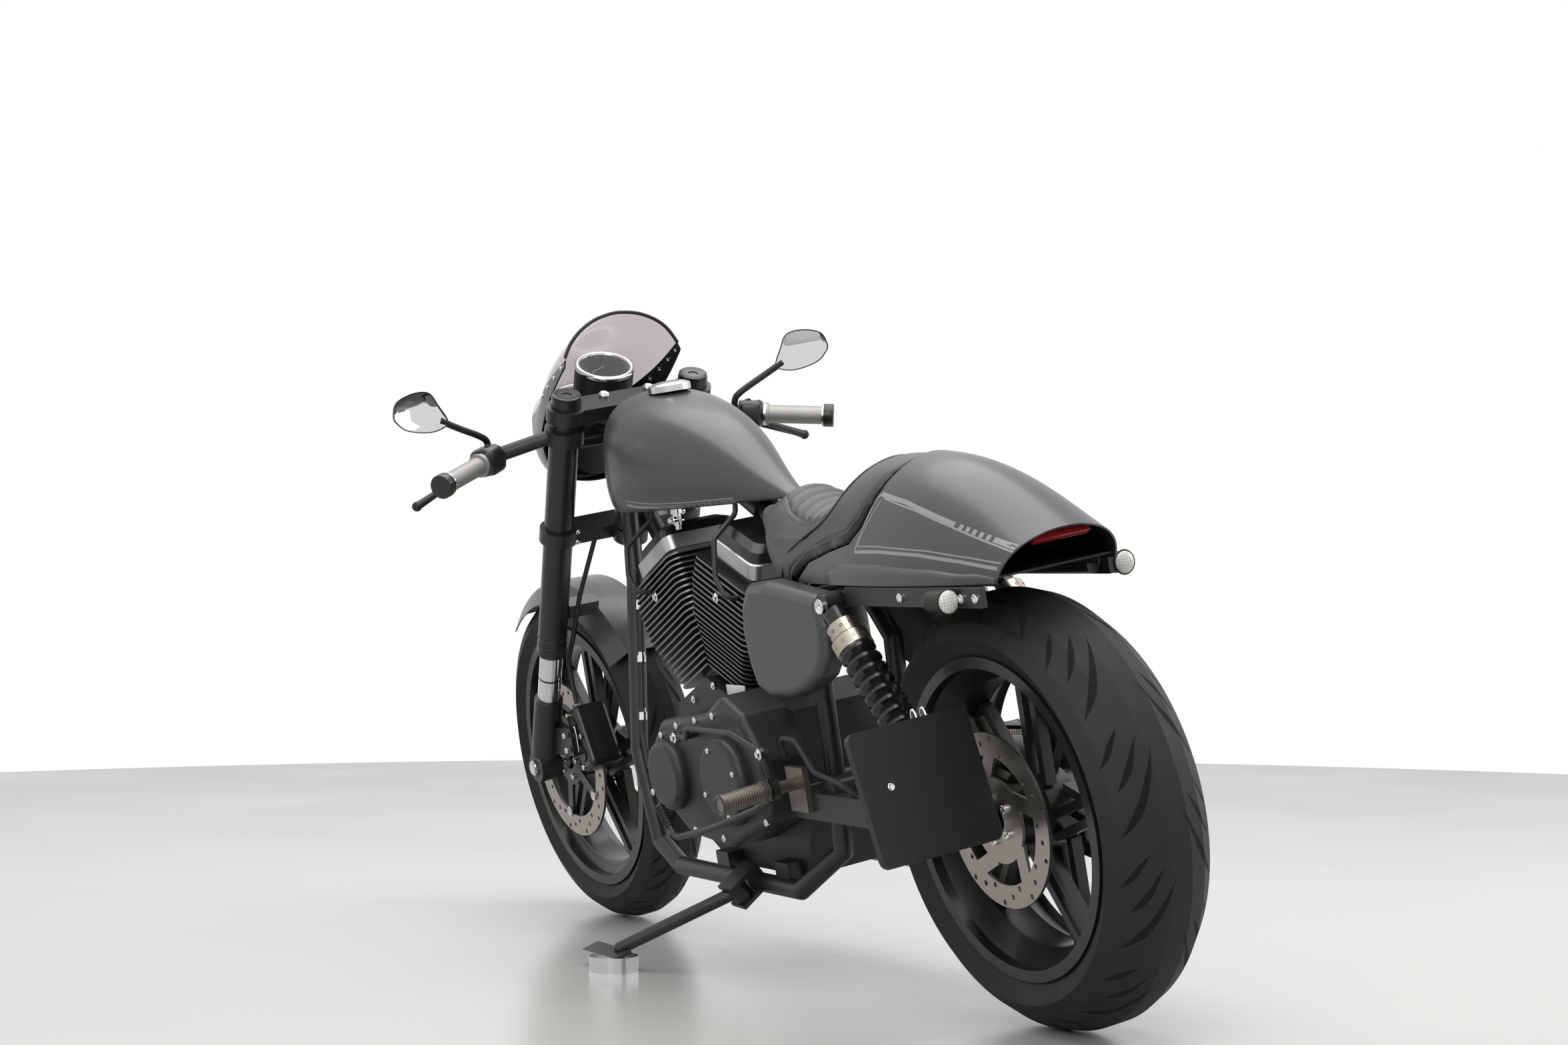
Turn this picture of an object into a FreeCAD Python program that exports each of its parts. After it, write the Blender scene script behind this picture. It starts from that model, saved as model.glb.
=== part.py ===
import FreeCAD, Part
import math
import os
import Sketcher

# Cafe racer motorcycle, leaning on its side stand.
# Each piece is drawn on the upright machine: X forward from the rear axle, Y to the left,
# Z up from the ground, in millimetres. At the end one placement leans the whole machine.

os.makedirs("parts", exist_ok=True)
V = FreeCAD.Vector
doc = FreeCAD.newDocument("CafeRacer")
sheet = doc.addObject("Spreadsheet::Sheet", "Sizes")

SIZES = {
    # wheels
    "wheelbase": 1505, "lean_angle": 10.6, "rear_crown_radius": 96, "front_crown_radius": 64,
    "rear_tyre_radius": 327.6, "rear_tyre_width": 180, "rear_seat_radius": 228.6, "rear_rim_width": 140,
    "front_tyre_radius": 325.3, "front_tyre_width": 122, "front_seat_radius": 241.3, "front_rim_width": 90,
    "rim_flange": 11.4, "rim_wall": 6, "rim_well_depth": 22, "rim_well_width": 56,
    "bead_wall": 6, "spoke_count": 5, "spoke_thick": 18, "spoke_wide": 13, "spoke_gap": 30,
    "spoke_offset": 34, "rear_hub_radius": 46, "front_hub_radius": 40, "hub_span": 62, "hub_flange": 16,
    "running_gap": 0.05, "side_gap": 1.5, "axle_radius": 12.5, "axle_bore": 6,
    "rear_axle_half": 158, "front_axle_half": 158,
    # brakes and drive
    "disc_thick": 5, "front_disc_radius": 150, "front_disc_offset": 76, "disc_hole_radius": 4,
    "rear_disc_radius": 130, "rear_disc_offset": 78,
    "pad_gap": 2, "caliper_length": 122, "caliper_depth": 45, "caliper_half": 34, "caliper_angle": 158,
    "pulley_radius": 96, "pulley_offset": 103, "belt_width": 22, "belt_thick": 6, "front_pulley_radius": 45,
    "front_pulley_reach": 600, "front_pulley_height": 352,
    # steering and fork
    "rake": 28.9, "trail": 140, "leg_offset": 40, "leg_spread": 128, "outer_tube_radius": 27,
    "inner_tube_radius": 21.5, "leg_top": 1000, "outer_tube_low": 528, "foot_top": 440,
    "head_tube_radius": 32, "stem_radius": 20, "head_low": 770, "head_high": 935, "yoke_thick": 26,
    "yoke_overlap": 8,
    "bar_radius": 11.1, "grip_radius": 17, "grip_reach": 388, "grip_tip_back": 385,
    "grip_tip_z": 904, "grip_root_back": 325, "grip_root_y": 292, "grip_root_z": 925,
    "lever_reach": 400, "lever_tip_back": 267, "lever_tip_z": 871,
    "mirror_back": 323, "mirror_y": 379, "mirror_z": 1035, "mirror_wide": 66, "mirror_high": 42,
    "mirror_thick": 14,
    "gauge_radius": 54, "gauge_depth": 46, "gauge_back": 282, "gauge_z": 1061,
    "lamp_radius": 84, "lamp_depth": 90,
    "fairing_wall": 3, "fairing_half": 126, "lamp_front_back": 120, "lamp_z": 950,
    "screen_line": 1083,
    "mudguard_gap": 12, "mudguard_wall": 3, "mudguard_half": 68,
    # engine
    "crank_x": 850, "crank_z": 375, "bank_angle": 22.5, "case_half": 84, "deck_height": 125,
    "case_bottom": 185,
    "barrel_start": 146, "head_start": 252, "rocker_start": 358, "rocker_height": 54,
    "fin_pitch": 10.3, "fin_thick": 3.2, "fin_long": 204, "fin_wide": 194, "barrel_radius": 55,
    "primary_depth": 88, "derby_x": 648, "derby_z": 362, "derby_radius": 74, "dome_x": 860,
    "dome_z": 360, "dome_radius": 61, "dome_height": 20,
    "cleaner_radius": 88, "cleaner_depth": 62, "pipe_radius": 21, "muffler_radius": 43,
    # body
    "tank_front": 1078, "tank_top": 1003, "tank_floor": 803, "tank_half": 119,
    "cap_x": 975, "cap_radius": 38, "tail_wall": 3, "tail_top": 862, "tail_floor": 680, "tail_half": 128,
    "cover_depth": 40, "cover_half": 156,
    # frame
    "frame_tube": 16, "backbone_radius": 24, "rail_radius": 12, "pivot_x": 480, "pivot_z": 345,
    "pivot_half": 86, "pivot_pin": 12, "arm_half": 126, "arm_high": 44, "arm_wide": 22, "seat_gap": 0.3,
    "shock_top_x": 260, "shock_top_z": 656, "shock_low_x": 15, "shock_low_z": 372, "shock_half": 151.3,
    "spring_radius": 29, "damper_radius": 21, "coil_count": 11, "strut_thick": 10, "strut_high": 28,
    "indicator_radius": 16,
    # plate holder
    "plate_wide": 200, "plate_high": 196, "plate_thick": 14, "plate_x": -30, "plate_y": 210, "plate_z": 408,
    "plate_tilt": 15,
    # stand
    "stand_pivot_x": 722, "stand_pivot_y": 152, "stand_pivot_z": 166, "stand_rod": 11, "stand_pin": 8,
    "knuckle_radius": 17, "knuckle_height": 30, "clevis_gap": 1,
    "puck_x": 841, "puck_y": 354, "puck_radius": 41, "puck_height": 26, "foot_thick": 6,
    "peg_radius": 15, "peg_x": 467, "peg_z": 365,
}


class Size(float):
    """A length that remembers the sheet formula it came from."""

    def __new__(cls, value, formula):
        made = float.__new__(cls, value)
        made.formula = formula
        return made

    def joined(self, other, sign, value, swap=False):
        mine, theirs = self.formula, formula_of(other)
        if swap:
            mine, theirs = theirs, mine
        return Size(value, "(%s %s %s)" % (mine, sign, theirs))

    def __add__(self, other):
        return self.joined(other, "+", float(self) + float(other))

    def __radd__(self, other):
        return self.joined(other, "+", float(self) + float(other))

    def __sub__(self, other):
        return self.joined(other, "-", float(self) - float(other))

    def __rsub__(self, other):
        return self.joined(other, "-", float(other) - float(self), True)

    def __mul__(self, other):
        return self.joined(other, "*", float(self) * float(other))

    def __rmul__(self, other):
        return self.joined(other, "*", float(self) * float(other))

    def __truediv__(self, other):
        return self.joined(other, "/", float(self) / float(other))

    def __neg__(self):
        return Size(-float(self), "(0 - %s)" % self.formula)


def formula_of(value):
    return value.formula if isinstance(value, Size) else repr(float(value))


for row, (alias, number) in enumerate(SIZES.items(), start=1):
    sheet.set("A%d" % row, alias)
    sheet.set("B%d" % row, str(number))
    sheet.setAlias("B%d" % row, alias)
doc.recompute()


class Sizes:
    """The sheet's cells by name."""

    def __getattr__(self, alias):
        return Size(float(sheet.get(alias)), "Sizes.%s" % alias)


S = Sizes()


def bind(item, prop, value):
    """Set a property, and tie it to the sheet where the value came from there."""
    if isinstance(value, Size):
        item.setExpression(prop, value.formula)
    else:
        setattr(item, prop, value)


def turned_to(direction):
    return FreeCAD.Rotation(V(0, 0, 1), V(*direction))


def place(item, at, turn=None):
    item.Placement = FreeCAD.Placement(V(*[float(n) for n in at]), turn or FreeCAD.Rotation())
    for letter, value in zip("xyz", at):
        if isinstance(value, Size):
            item.setExpression("Placement.Base.%s" % letter, value.formula)
    return item


def block(name, size, at, turn=None):
    item = doc.addObject("Part::Box", name)
    for prop, value in zip(("Length", "Width", "Height"), size):
        bind(item, prop, value)
    return place(item, at, turn)


def centred_block(name, size, centre, turn=None):
    """A box about its centre, so that it can be turned there."""
    turn = turn or FreeCAD.Rotation()
    half = turn.multVec(V(*[float(n) / 2 for n in size]))
    corner = V(*[float(n) for n in centre]) - half
    return block(name, size, tuple(corner), turn)


def rod(name, radius, start, end):
    """A round bar from one point to another."""
    a, b = V(*[float(n) for n in start]), V(*[float(n) for n in end])
    item = doc.addObject("Part::Cylinder", name)
    bind(item, "Radius", radius)
    item.Height = (b - a).Length
    return place(item, start, FreeCAD.Rotation(V(0, 0, 1), b - a))


def ball(name, radius, at):
    item = doc.addObject("Part::Sphere", name)
    bind(item, "Radius", radius)
    return place(item, at)


def pipe(name, radius, points):
    """Round bars along a bent route, with a ball at each bend."""
    parts = [rod("%s_run%d" % (name, i), radius, a, b) for i, (a, b) in enumerate(zip(points, points[1:]))]
    parts += [ball("%s_bend%d" % (name, i), radius, p) for i, p in enumerate(points[1:-1])]
    return fuse(name, parts)


cord_lengths = {}


def swept_bar(name, radius, points, bend):
    """A round bar or hose in one sweep: straight runs joined by tangent bends of one radius."""
    edges, at = [], points[0]
    for before, corner, after in zip(points, points[1:], points[2:]):
        back, ahead = (before - corner).normalize(), (after - corner).normalize()
        half = back.getAngle(ahead) / 2
        inward = (back + ahead).normalize()
        start, end = corner + back * (bend / math.tan(half)), corner + ahead * (bend / math.tan(half))
        middle = corner + inward * (bend / math.sin(half) - bend)
        edges += [Part.LineSegment(at, start).toShape(), Part.Arc(start, middle, end).toShape()]
        at = end
    edges.append(Part.LineSegment(at, points[-1]).toShape())
    ring = Part.Wire([Part.makeCircle(float(radius), points[0], points[1] - points[0])])
    route = Part.Wire(edges)
    cord_lengths[name] = (radius, bend, route.Length)
    return feature(name, route.makePipeShell([ring], True, False))


def fuse(name, parts):
    if len(parts) == 1:
        return parts[0]
    item = doc.addObject("Part::MultiFuse", name)
    item.Shapes = parts
    return item


def cut(name, base, tool):
    item = doc.addObject("Part::Cut", name)
    item.Base = base
    item.Tool = tool
    return item


def common(name, base, tool):
    item = doc.addObject("Part::Common", name)
    item.Base = base
    item.Tool = tool
    return item


def compound(name, parts):
    item = doc.addObject("Part::Compound", name)
    item.Links = parts
    return item


def feature(name, shape, at=(0, 0, 0), turn=None):
    item = doc.addObject("Part::Feature", name)
    own = shape.Placement
    item.Shape = shape
    item.Placement = FreeCAD.Placement(V(*[float(n) for n in at]), turn or FreeCAD.Rotation()).multiply(own)
    return item


def outline_sketch(body, name, role, points):
    """A closed outline whose corners are all tied to the sheet."""
    sketch = body.newObject("Sketcher::SketchObject", name)
    plane = [f for f in body.Origin.OriginFeatures if f.Role == role][0]
    sketch.AttachmentSupport = [(plane, "")]
    sketch.MapMode = "FlatFace"
    count = len(points)
    for i in range(count):
        a, b = points[i], points[(i + 1) % count]
        sketch.addGeometry(Part.LineSegment(V(float(a[0]), float(a[1]), 0), V(float(b[0]), float(b[1]), 0)))
    for i in range(count):
        sketch.addConstraint(Sketcher.Constraint("Coincident", i, 2, (i + 1) % count, 1))
    for i, point in enumerate(points):
        for kind, value, axis in (("DistanceX", point[0], -2), ("DistanceY", point[1], -1)):
            if abs(float(value)) < 1e-9:
                sketch.addConstraint(Sketcher.Constraint("PointOnObject", i, 1, axis))
                continue
            index = sketch.addConstraint(Sketcher.Constraint(kind, -1, 1, i, 1, float(value)))
            if isinstance(value, Size):
                sketch.setExpression("Constraints[%d]" % index, value.formula)
    return sketch


def turned_body(name, points):
    """A ring or shaft turned about the wheel's axle: corners are (radius, distance to the left)."""
    body = doc.addObject("PartDesign::Body", name)
    sketch = outline_sketch(body, name + "_outline", "XY_Plane", points)
    turn = body.newObject("PartDesign::Revolution", name + "_turn")
    turn.Profile = sketch
    turn.ReferenceAxis = (sketch, ["V_Axis"])
    turn.Angle = 360
    body.Tip = turn
    return body


def padded_body(name, points, depth, start):
    """A plate whose outline lies in the XZ plane, from start towards the left by depth."""
    body = doc.addObject("PartDesign::Body", name)
    sketch = outline_sketch(body, name + "_outline", "XZ_Plane", points)
    pad = body.newObject("PartDesign::Pad", name + "_pad")
    pad.Profile = sketch
    bind(pad, "Length", depth)
    pad.Reversed = True
    body.Tip = pad
    return place(body, (0, start, 0))


def add_fillet(body, name, radius, chosen):
    """Round the edges that a test picks."""
    doc.recompute()
    base = body.Tip
    edges = ["Edge%d" % (i + 1) for i, e in enumerate(base.Shape.Edges) if chosen(e)]
    item = body.newObject("PartDesign::Fillet", name)
    item.Base = (base, edges)
    bind(item, "Radius", radius)
    body.Tip = item
    return body


def oval(x, low, high, half, square=2.6, floor=5.0, count=12):
    """A closed section across the machine, rounder above than below."""
    middle, rise = (low + high) / 2.0, (high - low) / 2.0
    points = []
    for i in range(count):
        angle = 2 * math.pi * (i + 0.5) / count
        c, s = math.cos(angle), math.sin(angle)
        power = square if s > 0 else floor
        points.append(V(x, math.copysign(abs(c) ** (2 / power), c) * half,
                        middle + math.copysign(abs(s) ** (2 / power), s) * rise))
    curve = Part.BSplineCurve()
    curve.interpolate(Points=points, PeriodicFlag=True)
    return Part.Wire(curve.toShape())


def loft(wires):
    return Part.makeLoft(wires, True, False)


def ruled_loft(wires):
    return Part.makeLoft(wires, True, True)


def prism(points, low, high):
    """Fills an outline given in X and Z, from one Y to another."""
    corners = [V(x, low, z) for x, z in points + points[:1]]
    return Part.Face(Part.makePolygon(corners)).extrude(V(0, high - low, 0))


def half_space(point, normal, reach=1500):
    """A large block that fills the side of a plane that the normal points to."""
    slab = Part.makeBox(2 * reach, 2 * reach, reach, V(-reach, -reach, 0))
    slab.Placement = FreeCAD.Placement(V(*point), FreeCAD.Rotation(V(0, 0, 1), V(*normal)))
    return slab


NODES = []


def node(item, name):
    item.Label = name
    NODES.append(item)


# Steering axis: it meets the ground ahead of the front axle, and leans back by the rake.
rake = math.radians(S.rake)
AXIS = V(-math.sin(rake), 0, math.cos(rake))
AHEAD = V(math.cos(rake), 0, math.sin(rake))
AXIS_FOOT = V(S.wheelbase + S.trail, 0, 0)
FORK_TURN = FreeCAD.Rotation(V(0, 1, 0), -float(S.rake))


def on_axis(height, forward=0.0, left=0.0):
    """A point by its height where the axis passes, then forward of the axis and to the left."""
    return AXIS_FOOT + AXIS * (height / math.cos(rake)) + AHEAD * forward + V(0, left, 0)


def fork_point(forward, left, along):
    """A point in the fork's own frame, along counted from the axis's foot on the ground."""
    return AXIS_FOOT + AHEAD * forward + V(0, left, 0) + AXIS * along


def rim_outline(seat, width):
    flange, wall = seat + S.rim_flange, S.bead_wall
    half, well = width / 2, S.rim_well_width / 2
    inner, deep = seat - S.rim_wall, seat - S.rim_well_depth
    ramp = S.rim_well_depth
    return [(flange, half + wall), (flange, half), (seat, half), (seat, half - ramp * 0.6), (deep, well),
            (deep, -well), (seat, ramp * 0.6 - half), (seat, -half), (flange, -half), (flange, -half - wall),
            (inner, -half - wall), (inner, ramp * 0.5 - half), (deep - S.rim_wall, -well * 0.9),
            (deep - S.rim_wall, well * 0.9), (inner, half - ramp * 0.5), (inner, half + wall)]


def hairpin(name, start, end, side, base):
    """A spoke of two bars joined by a round bow at the rim, leaned to one side."""
    wide, gap, thick = float(S.spoke_wide), float(S.spoke_gap), float(S.spoke_thick)
    turn = FreeCAD.Rotation(V(0, 1, 0), -math.degrees(base))
    offset = side * float(S.spoke_offset)
    low, length = side * thick * 0.75 - thick / 2, end - start - (gap + wide) / 2

    def spot(along, across):
        return turn.multVec(V(along, low, offset + across))

    def slot(word, half, reach):
        bar = block(word, (length + reach, thick, 2 * half), tuple(spot(start - reach, -half)), turn)
        bow = rod(word + "_bow", half, tuple(spot(start + length, 0)),
                  tuple(spot(start + length, 0) + V(0, thick, 0)))
        return fuse(word + "_slot", [bar, bow])

    return cut(name, slot(name + "_outer", (gap + wide) / 2, 0), slot(name + "_inner", (gap - wide) / 2, 20))


def wheel(name, seat, width, hub_radius, hub_left, hub_right):
    bore, flange = S.axle_radius + S.running_gap, hub_radius + S.hub_flange
    barrel = turned_body(name + "_barrel", rim_outline(seat, width))
    hub = turned_body(name + "_hub", [
        (bore, hub_right), (hub_radius, hub_right), (hub_radius, -S.hub_span / 2), (flange,
                                                                                    -S.hub_span / 2 + 6),
        (flange, S.hub_span / 2 - 6), (hub_radius, S.hub_span / 2), (hub_radius, hub_left), (bore, hub_left)])
    inner = float(seat - S.rim_well_depth - S.rim_wall)
    bars = []
    for side in (1, -1):
        for i in range(int(S.spoke_count)):
            base = 2 * math.pi * i / S.spoke_count + side * math.pi / S.spoke_count / 2
            bars.append(hairpin(name + "_spoke", float(hub_radius) - 4, inner + 3, side, base))
    return fuse(name, [barrel, hub] + bars)


def tyre(name, radius, seat, rim_width, width, crown):
    """A tyre's ring: beads on the rim's seats, bulged sides and a round crown."""
    half, bead = width / 2, rim_width / 2
    height = radius - seat
    corners = [(seat, bead), (seat + S.rim_flange, bead), (seat + height * 0.42, half)]
    leaned_share = float(crown) * math.sin(math.radians(S.lean_angle)) / float(half)
    for share in (0.84, 0.52, leaned_share):
        drop = float(crown) - math.sqrt(float(crown) ** 2 - (share * float(half)) ** 2)
        corners.append((radius - drop, half * share))
    mirrored = [(r, -y) for r, y in reversed(corners)]
    return turned_body(name, corners + mirrored)


rear_hub_left = S.rear_disc_offset - S.disc_thick / 2 - 8
rear_hub_right = -(S.pulley_offset - S.belt_width / 2)
rim_rear = wheel("rim_rear", S.rear_seat_radius, S.rear_rim_width, S.rear_hub_radius, rear_hub_left,
                 rear_hub_right)
tyre_rear = tyre("tyre_rear", S.rear_tyre_radius, S.rear_seat_radius, S.rear_rim_width, S.rear_tyre_width,
                 S.rear_crown_radius)
front_hub_half = S.front_disc_offset - S.disc_thick / 2 - 8
rim_front = wheel("rim_front", S.front_seat_radius, S.front_rim_width, S.front_hub_radius, front_hub_half,
                  -front_hub_half)
tyre_front = tyre("tyre_front", S.front_tyre_radius, S.front_seat_radius, S.front_rim_width,
                  S.front_tyre_width,
                  S.front_crown_radius)

def disc_ring(name, inner, outer, offset):
    """A flat ring on the axle, as thick as a disc."""
    low, high = offset - S.disc_thick / 2, offset + S.disc_thick / 2
    return turned_body(name, [(inner, low), (outer, low), (outer, high), (inner, high)])


def drilled(name, ring, radii, count, offset):
    """The ring with rows of small holes through it, each row a little further round than the last."""
    drills = []
    for row, radius in enumerate(radii):
        for i in range(count):
            angle = 2 * math.pi * (i + row / len(radii)) / count
            x, z = radius * math.cos(angle), radius * math.sin(angle)
            drills.append(rod(name + "_drill", S.disc_hole_radius, (x, offset - 9, z), (x, offset + 9, z)))
    return cut(name, ring, fuse(name + "_drills", drills))


def disc_arms(name, start, end, wide, lean, offset):
    """Five flat arms from the disc's centre to its ring."""
    arms = []
    for i in range(5):
        turn = FreeCAD.Rotation(V(0, 1, 0), -72 * i - lean)
        root = FreeCAD.Rotation(V(0, 1, 0), -72 * i).multVec(V(start, 0, 0))
        corner = root + turn.multVec(V(0, -float(S.disc_thick) / 2, -wide / 2)) + V(0, offset, 0)
        arms.append(block(name, (end - start, S.disc_thick, wide), tuple(corner), turn))
    return arms


# Brake discs: a drilled ring on the arms of a carrier that is bolted to the hub.
carrier_bore = S.axle_radius + S.side_gap * 4
rear_ring = disc_ring("rear_ring", 96, S.rear_disc_radius, S.rear_disc_offset)
rear_middle = disc_ring("rear_middle", carrier_bore, 64, S.rear_disc_offset)
rear_disc_seat = turned_body("rear_disc_seat", [
    (carrier_bore, rear_hub_left), (S.rear_hub_radius, rear_hub_left), (S.rear_hub_radius,
                                                                        S.rear_disc_offset),
    (carrier_bore, S.rear_disc_offset)])
disc_rear = fuse("disc_rear", [drilled("rear_drilled", rear_ring, (103, 113, 123), 10,
                                       float(S.rear_disc_offset)),
                               rear_middle, rear_disc_seat]
                 + disc_arms("rear_disc_arm", 58, 110, 24, 48, float(S.rear_disc_offset)))
front_discs = []
for side in (1, -1):
    offset = S.front_disc_offset * side
    ring = disc_ring("front_ring", 112, S.front_disc_radius, offset)
    seat = turned_body("front_carrier", [
        (carrier_bore, front_hub_half * side), (S.front_hub_radius + 10, front_hub_half * side),
        (S.front_hub_radius + 10, offset + S.disc_thick / 2 * side), (carrier_bore,
                                                                      offset + S.disc_thick / 2 * side)])
    buttons = [rod("disc_button", 9, (110 * math.cos(1.2566 * i), float(offset) - 4.5,
                                      110 * math.sin(1.2566 * i)),
                   (110 * math.cos(1.2566 * i), float(offset) + 4.5,
                    110 * math.sin(1.2566 * i))) for i in range(5)]
    front_discs.append(fuse("front_disc", [
        drilled("front_drilled", ring, (122, 132, 142), 12, float(offset)), seat] + buttons
        + disc_arms("front_disc_arm", 40, 108, 20, 0, float(offset))))
discs_front = compound("discs_front", front_discs)
pulley_left = S.belt_width / 2 - S.pulley_offset
pulley_right = -S.belt_width / 2 - S.pulley_offset
pulley_holes = [rod("pulley_hole", 17, (68 * math.cos(1.2566 * i), -140, 68 * math.sin(1.2566 * i)),
                    (68 * math.cos(1.2566 * i), -60, 68 * math.sin(1.2566 * i))) for i in range(5)]
pulley_disc = turned_body("pulley_disc", [
    (carrier_bore, pulley_right + 5), (S.pulley_radius - 8, pulley_right + 5), (S.pulley_radius - 8,
                                                                                pulley_right),
    (S.pulley_radius, pulley_right), (S.pulley_radius, pulley_left), (carrier_bore, pulley_left)])
pulley_rear = cut("pulley_rear", pulley_disc, fuse("pulley_holes", pulley_holes))


def at_rear(item):
    return place(item, (0, 0, S.rear_tyre_radius))


def at_front(item):
    return place(item, (S.wheelbase, 0, S.front_tyre_radius))


for item in (rim_rear, tyre_rear, disc_rear, pulley_rear):
    at_rear(item)
    node(item, item.Name)
for item in (rim_front, tyre_front, discs_front):
    at_front(item)
    node(item, item.Name)


def hollow_axle(name, half):
    return turned_body(name, [(S.axle_bore, -half), (S.axle_radius, -half), (S.axle_radius, half),
                              (S.axle_bore, half)])


axle_rear = hollow_axle("axle_rear", S.rear_axle_half)
node(at_rear(axle_rear), "axle_rear")
axle_front = hollow_axle("axle_front", S.front_axle_half)
node(at_front(axle_front), "axle_front")

# Fork: inverted legs, black outer tube above, bright inner tube below, and a foot on the axle.
legs = []
for side, word in ((1, "left"), (-1, "right")):
    top = on_axis(S.leg_top, S.leg_offset, side * S.leg_spread)
    split = on_axis(S.outer_tube_low, S.leg_offset, side * S.leg_spread)
    low = on_axis(S.foot_top - 40, S.leg_offset, side * S.leg_spread)
    foot = V(S.wheelbase, side * S.leg_spread, S.front_tyre_radius)
    outer = rod("leg_outer_" + word, S.outer_tube_radius, top, split)
    inner = rod("leg_inner_" + word, S.inner_tube_radius, split, low)
    boot = rod("leg_boot_" + word, S.outer_tube_radius, on_axis(S.foot_top, S.leg_offset,
                                                                side * S.leg_spread),
               on_axis(S.foot_top - 110, S.leg_offset, side * S.leg_spread))
    lug = rod("leg_lug_" + word, S.outer_tube_radius * 1.1,
              foot - V(0, S.outer_tube_radius * 0.8, 0), foot + V(0, S.outer_tube_radius * 0.8, 0))
    bore = rod("leg_bore_" + word, S.axle_radius, foot - V(0, 60, 0), foot + V(0, 60, 0))
    ear_y = side * (S.front_disc_offset + S.caliper_half + S.seat_gap + 9)
    ear = centred_block("leg_ear_" + word, (96, 12, 52), (S.wheelbase - 86, ear_y, S.front_tyre_radius + 50))
    solid = fuse("leg_solid_" + word, [outer, inner, boot, lug, ear])
    legs.append(cut("leg_" + word, solid, bore))
node(compound("fork_legs", legs), "fork_legs")

# Yokes: two plates on the stem that clamp the legs, above and below the steering head.
yoke_parts = [rod("stem", S.stem_radius, on_axis(S.head_low - 20), on_axis(S.leg_top - 12))]
for word, height in (("upper", S.leg_top - 28), ("lower", S.head_low - 16)):
    middle = on_axis(height)
    yoke_parts.append(centred_block("yoke_" + word, (S.leg_offset + 12, 2 * S.leg_spread, S.yoke_thick),
                                    tuple(on_axis(height, S.leg_offset)), FORK_TURN))
    yoke_parts.append(rod("yoke_boss_" + word, S.stem_radius + 12, middle - AXIS * (S.yoke_thick / 2),
                          middle + AXIS * (S.yoke_thick / 2)))
    for side in (1, -1):
        clamp = on_axis(height, S.leg_offset, side * S.leg_spread)
        yoke_parts.append(rod("clamp_%s" % word, S.outer_tube_radius + S.yoke_overlap,
                              clamp - AXIS * (S.yoke_thick / 2), clamp + AXIS * (S.yoke_thick / 2)))
yoke_solid = fuse("yoke_solid", yoke_parts)
leg_holes = fuse("leg_holes", [
    rod("leg_hole", S.outer_tube_radius, on_axis(S.head_low - 80, S.leg_offset, side * S.leg_spread),
        on_axis(S.leg_top + 80, S.leg_offset, side * S.leg_spread)) for side in (1, -1)])
node(cut("yokes", yoke_solid, leg_holes), "yokes")

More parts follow.
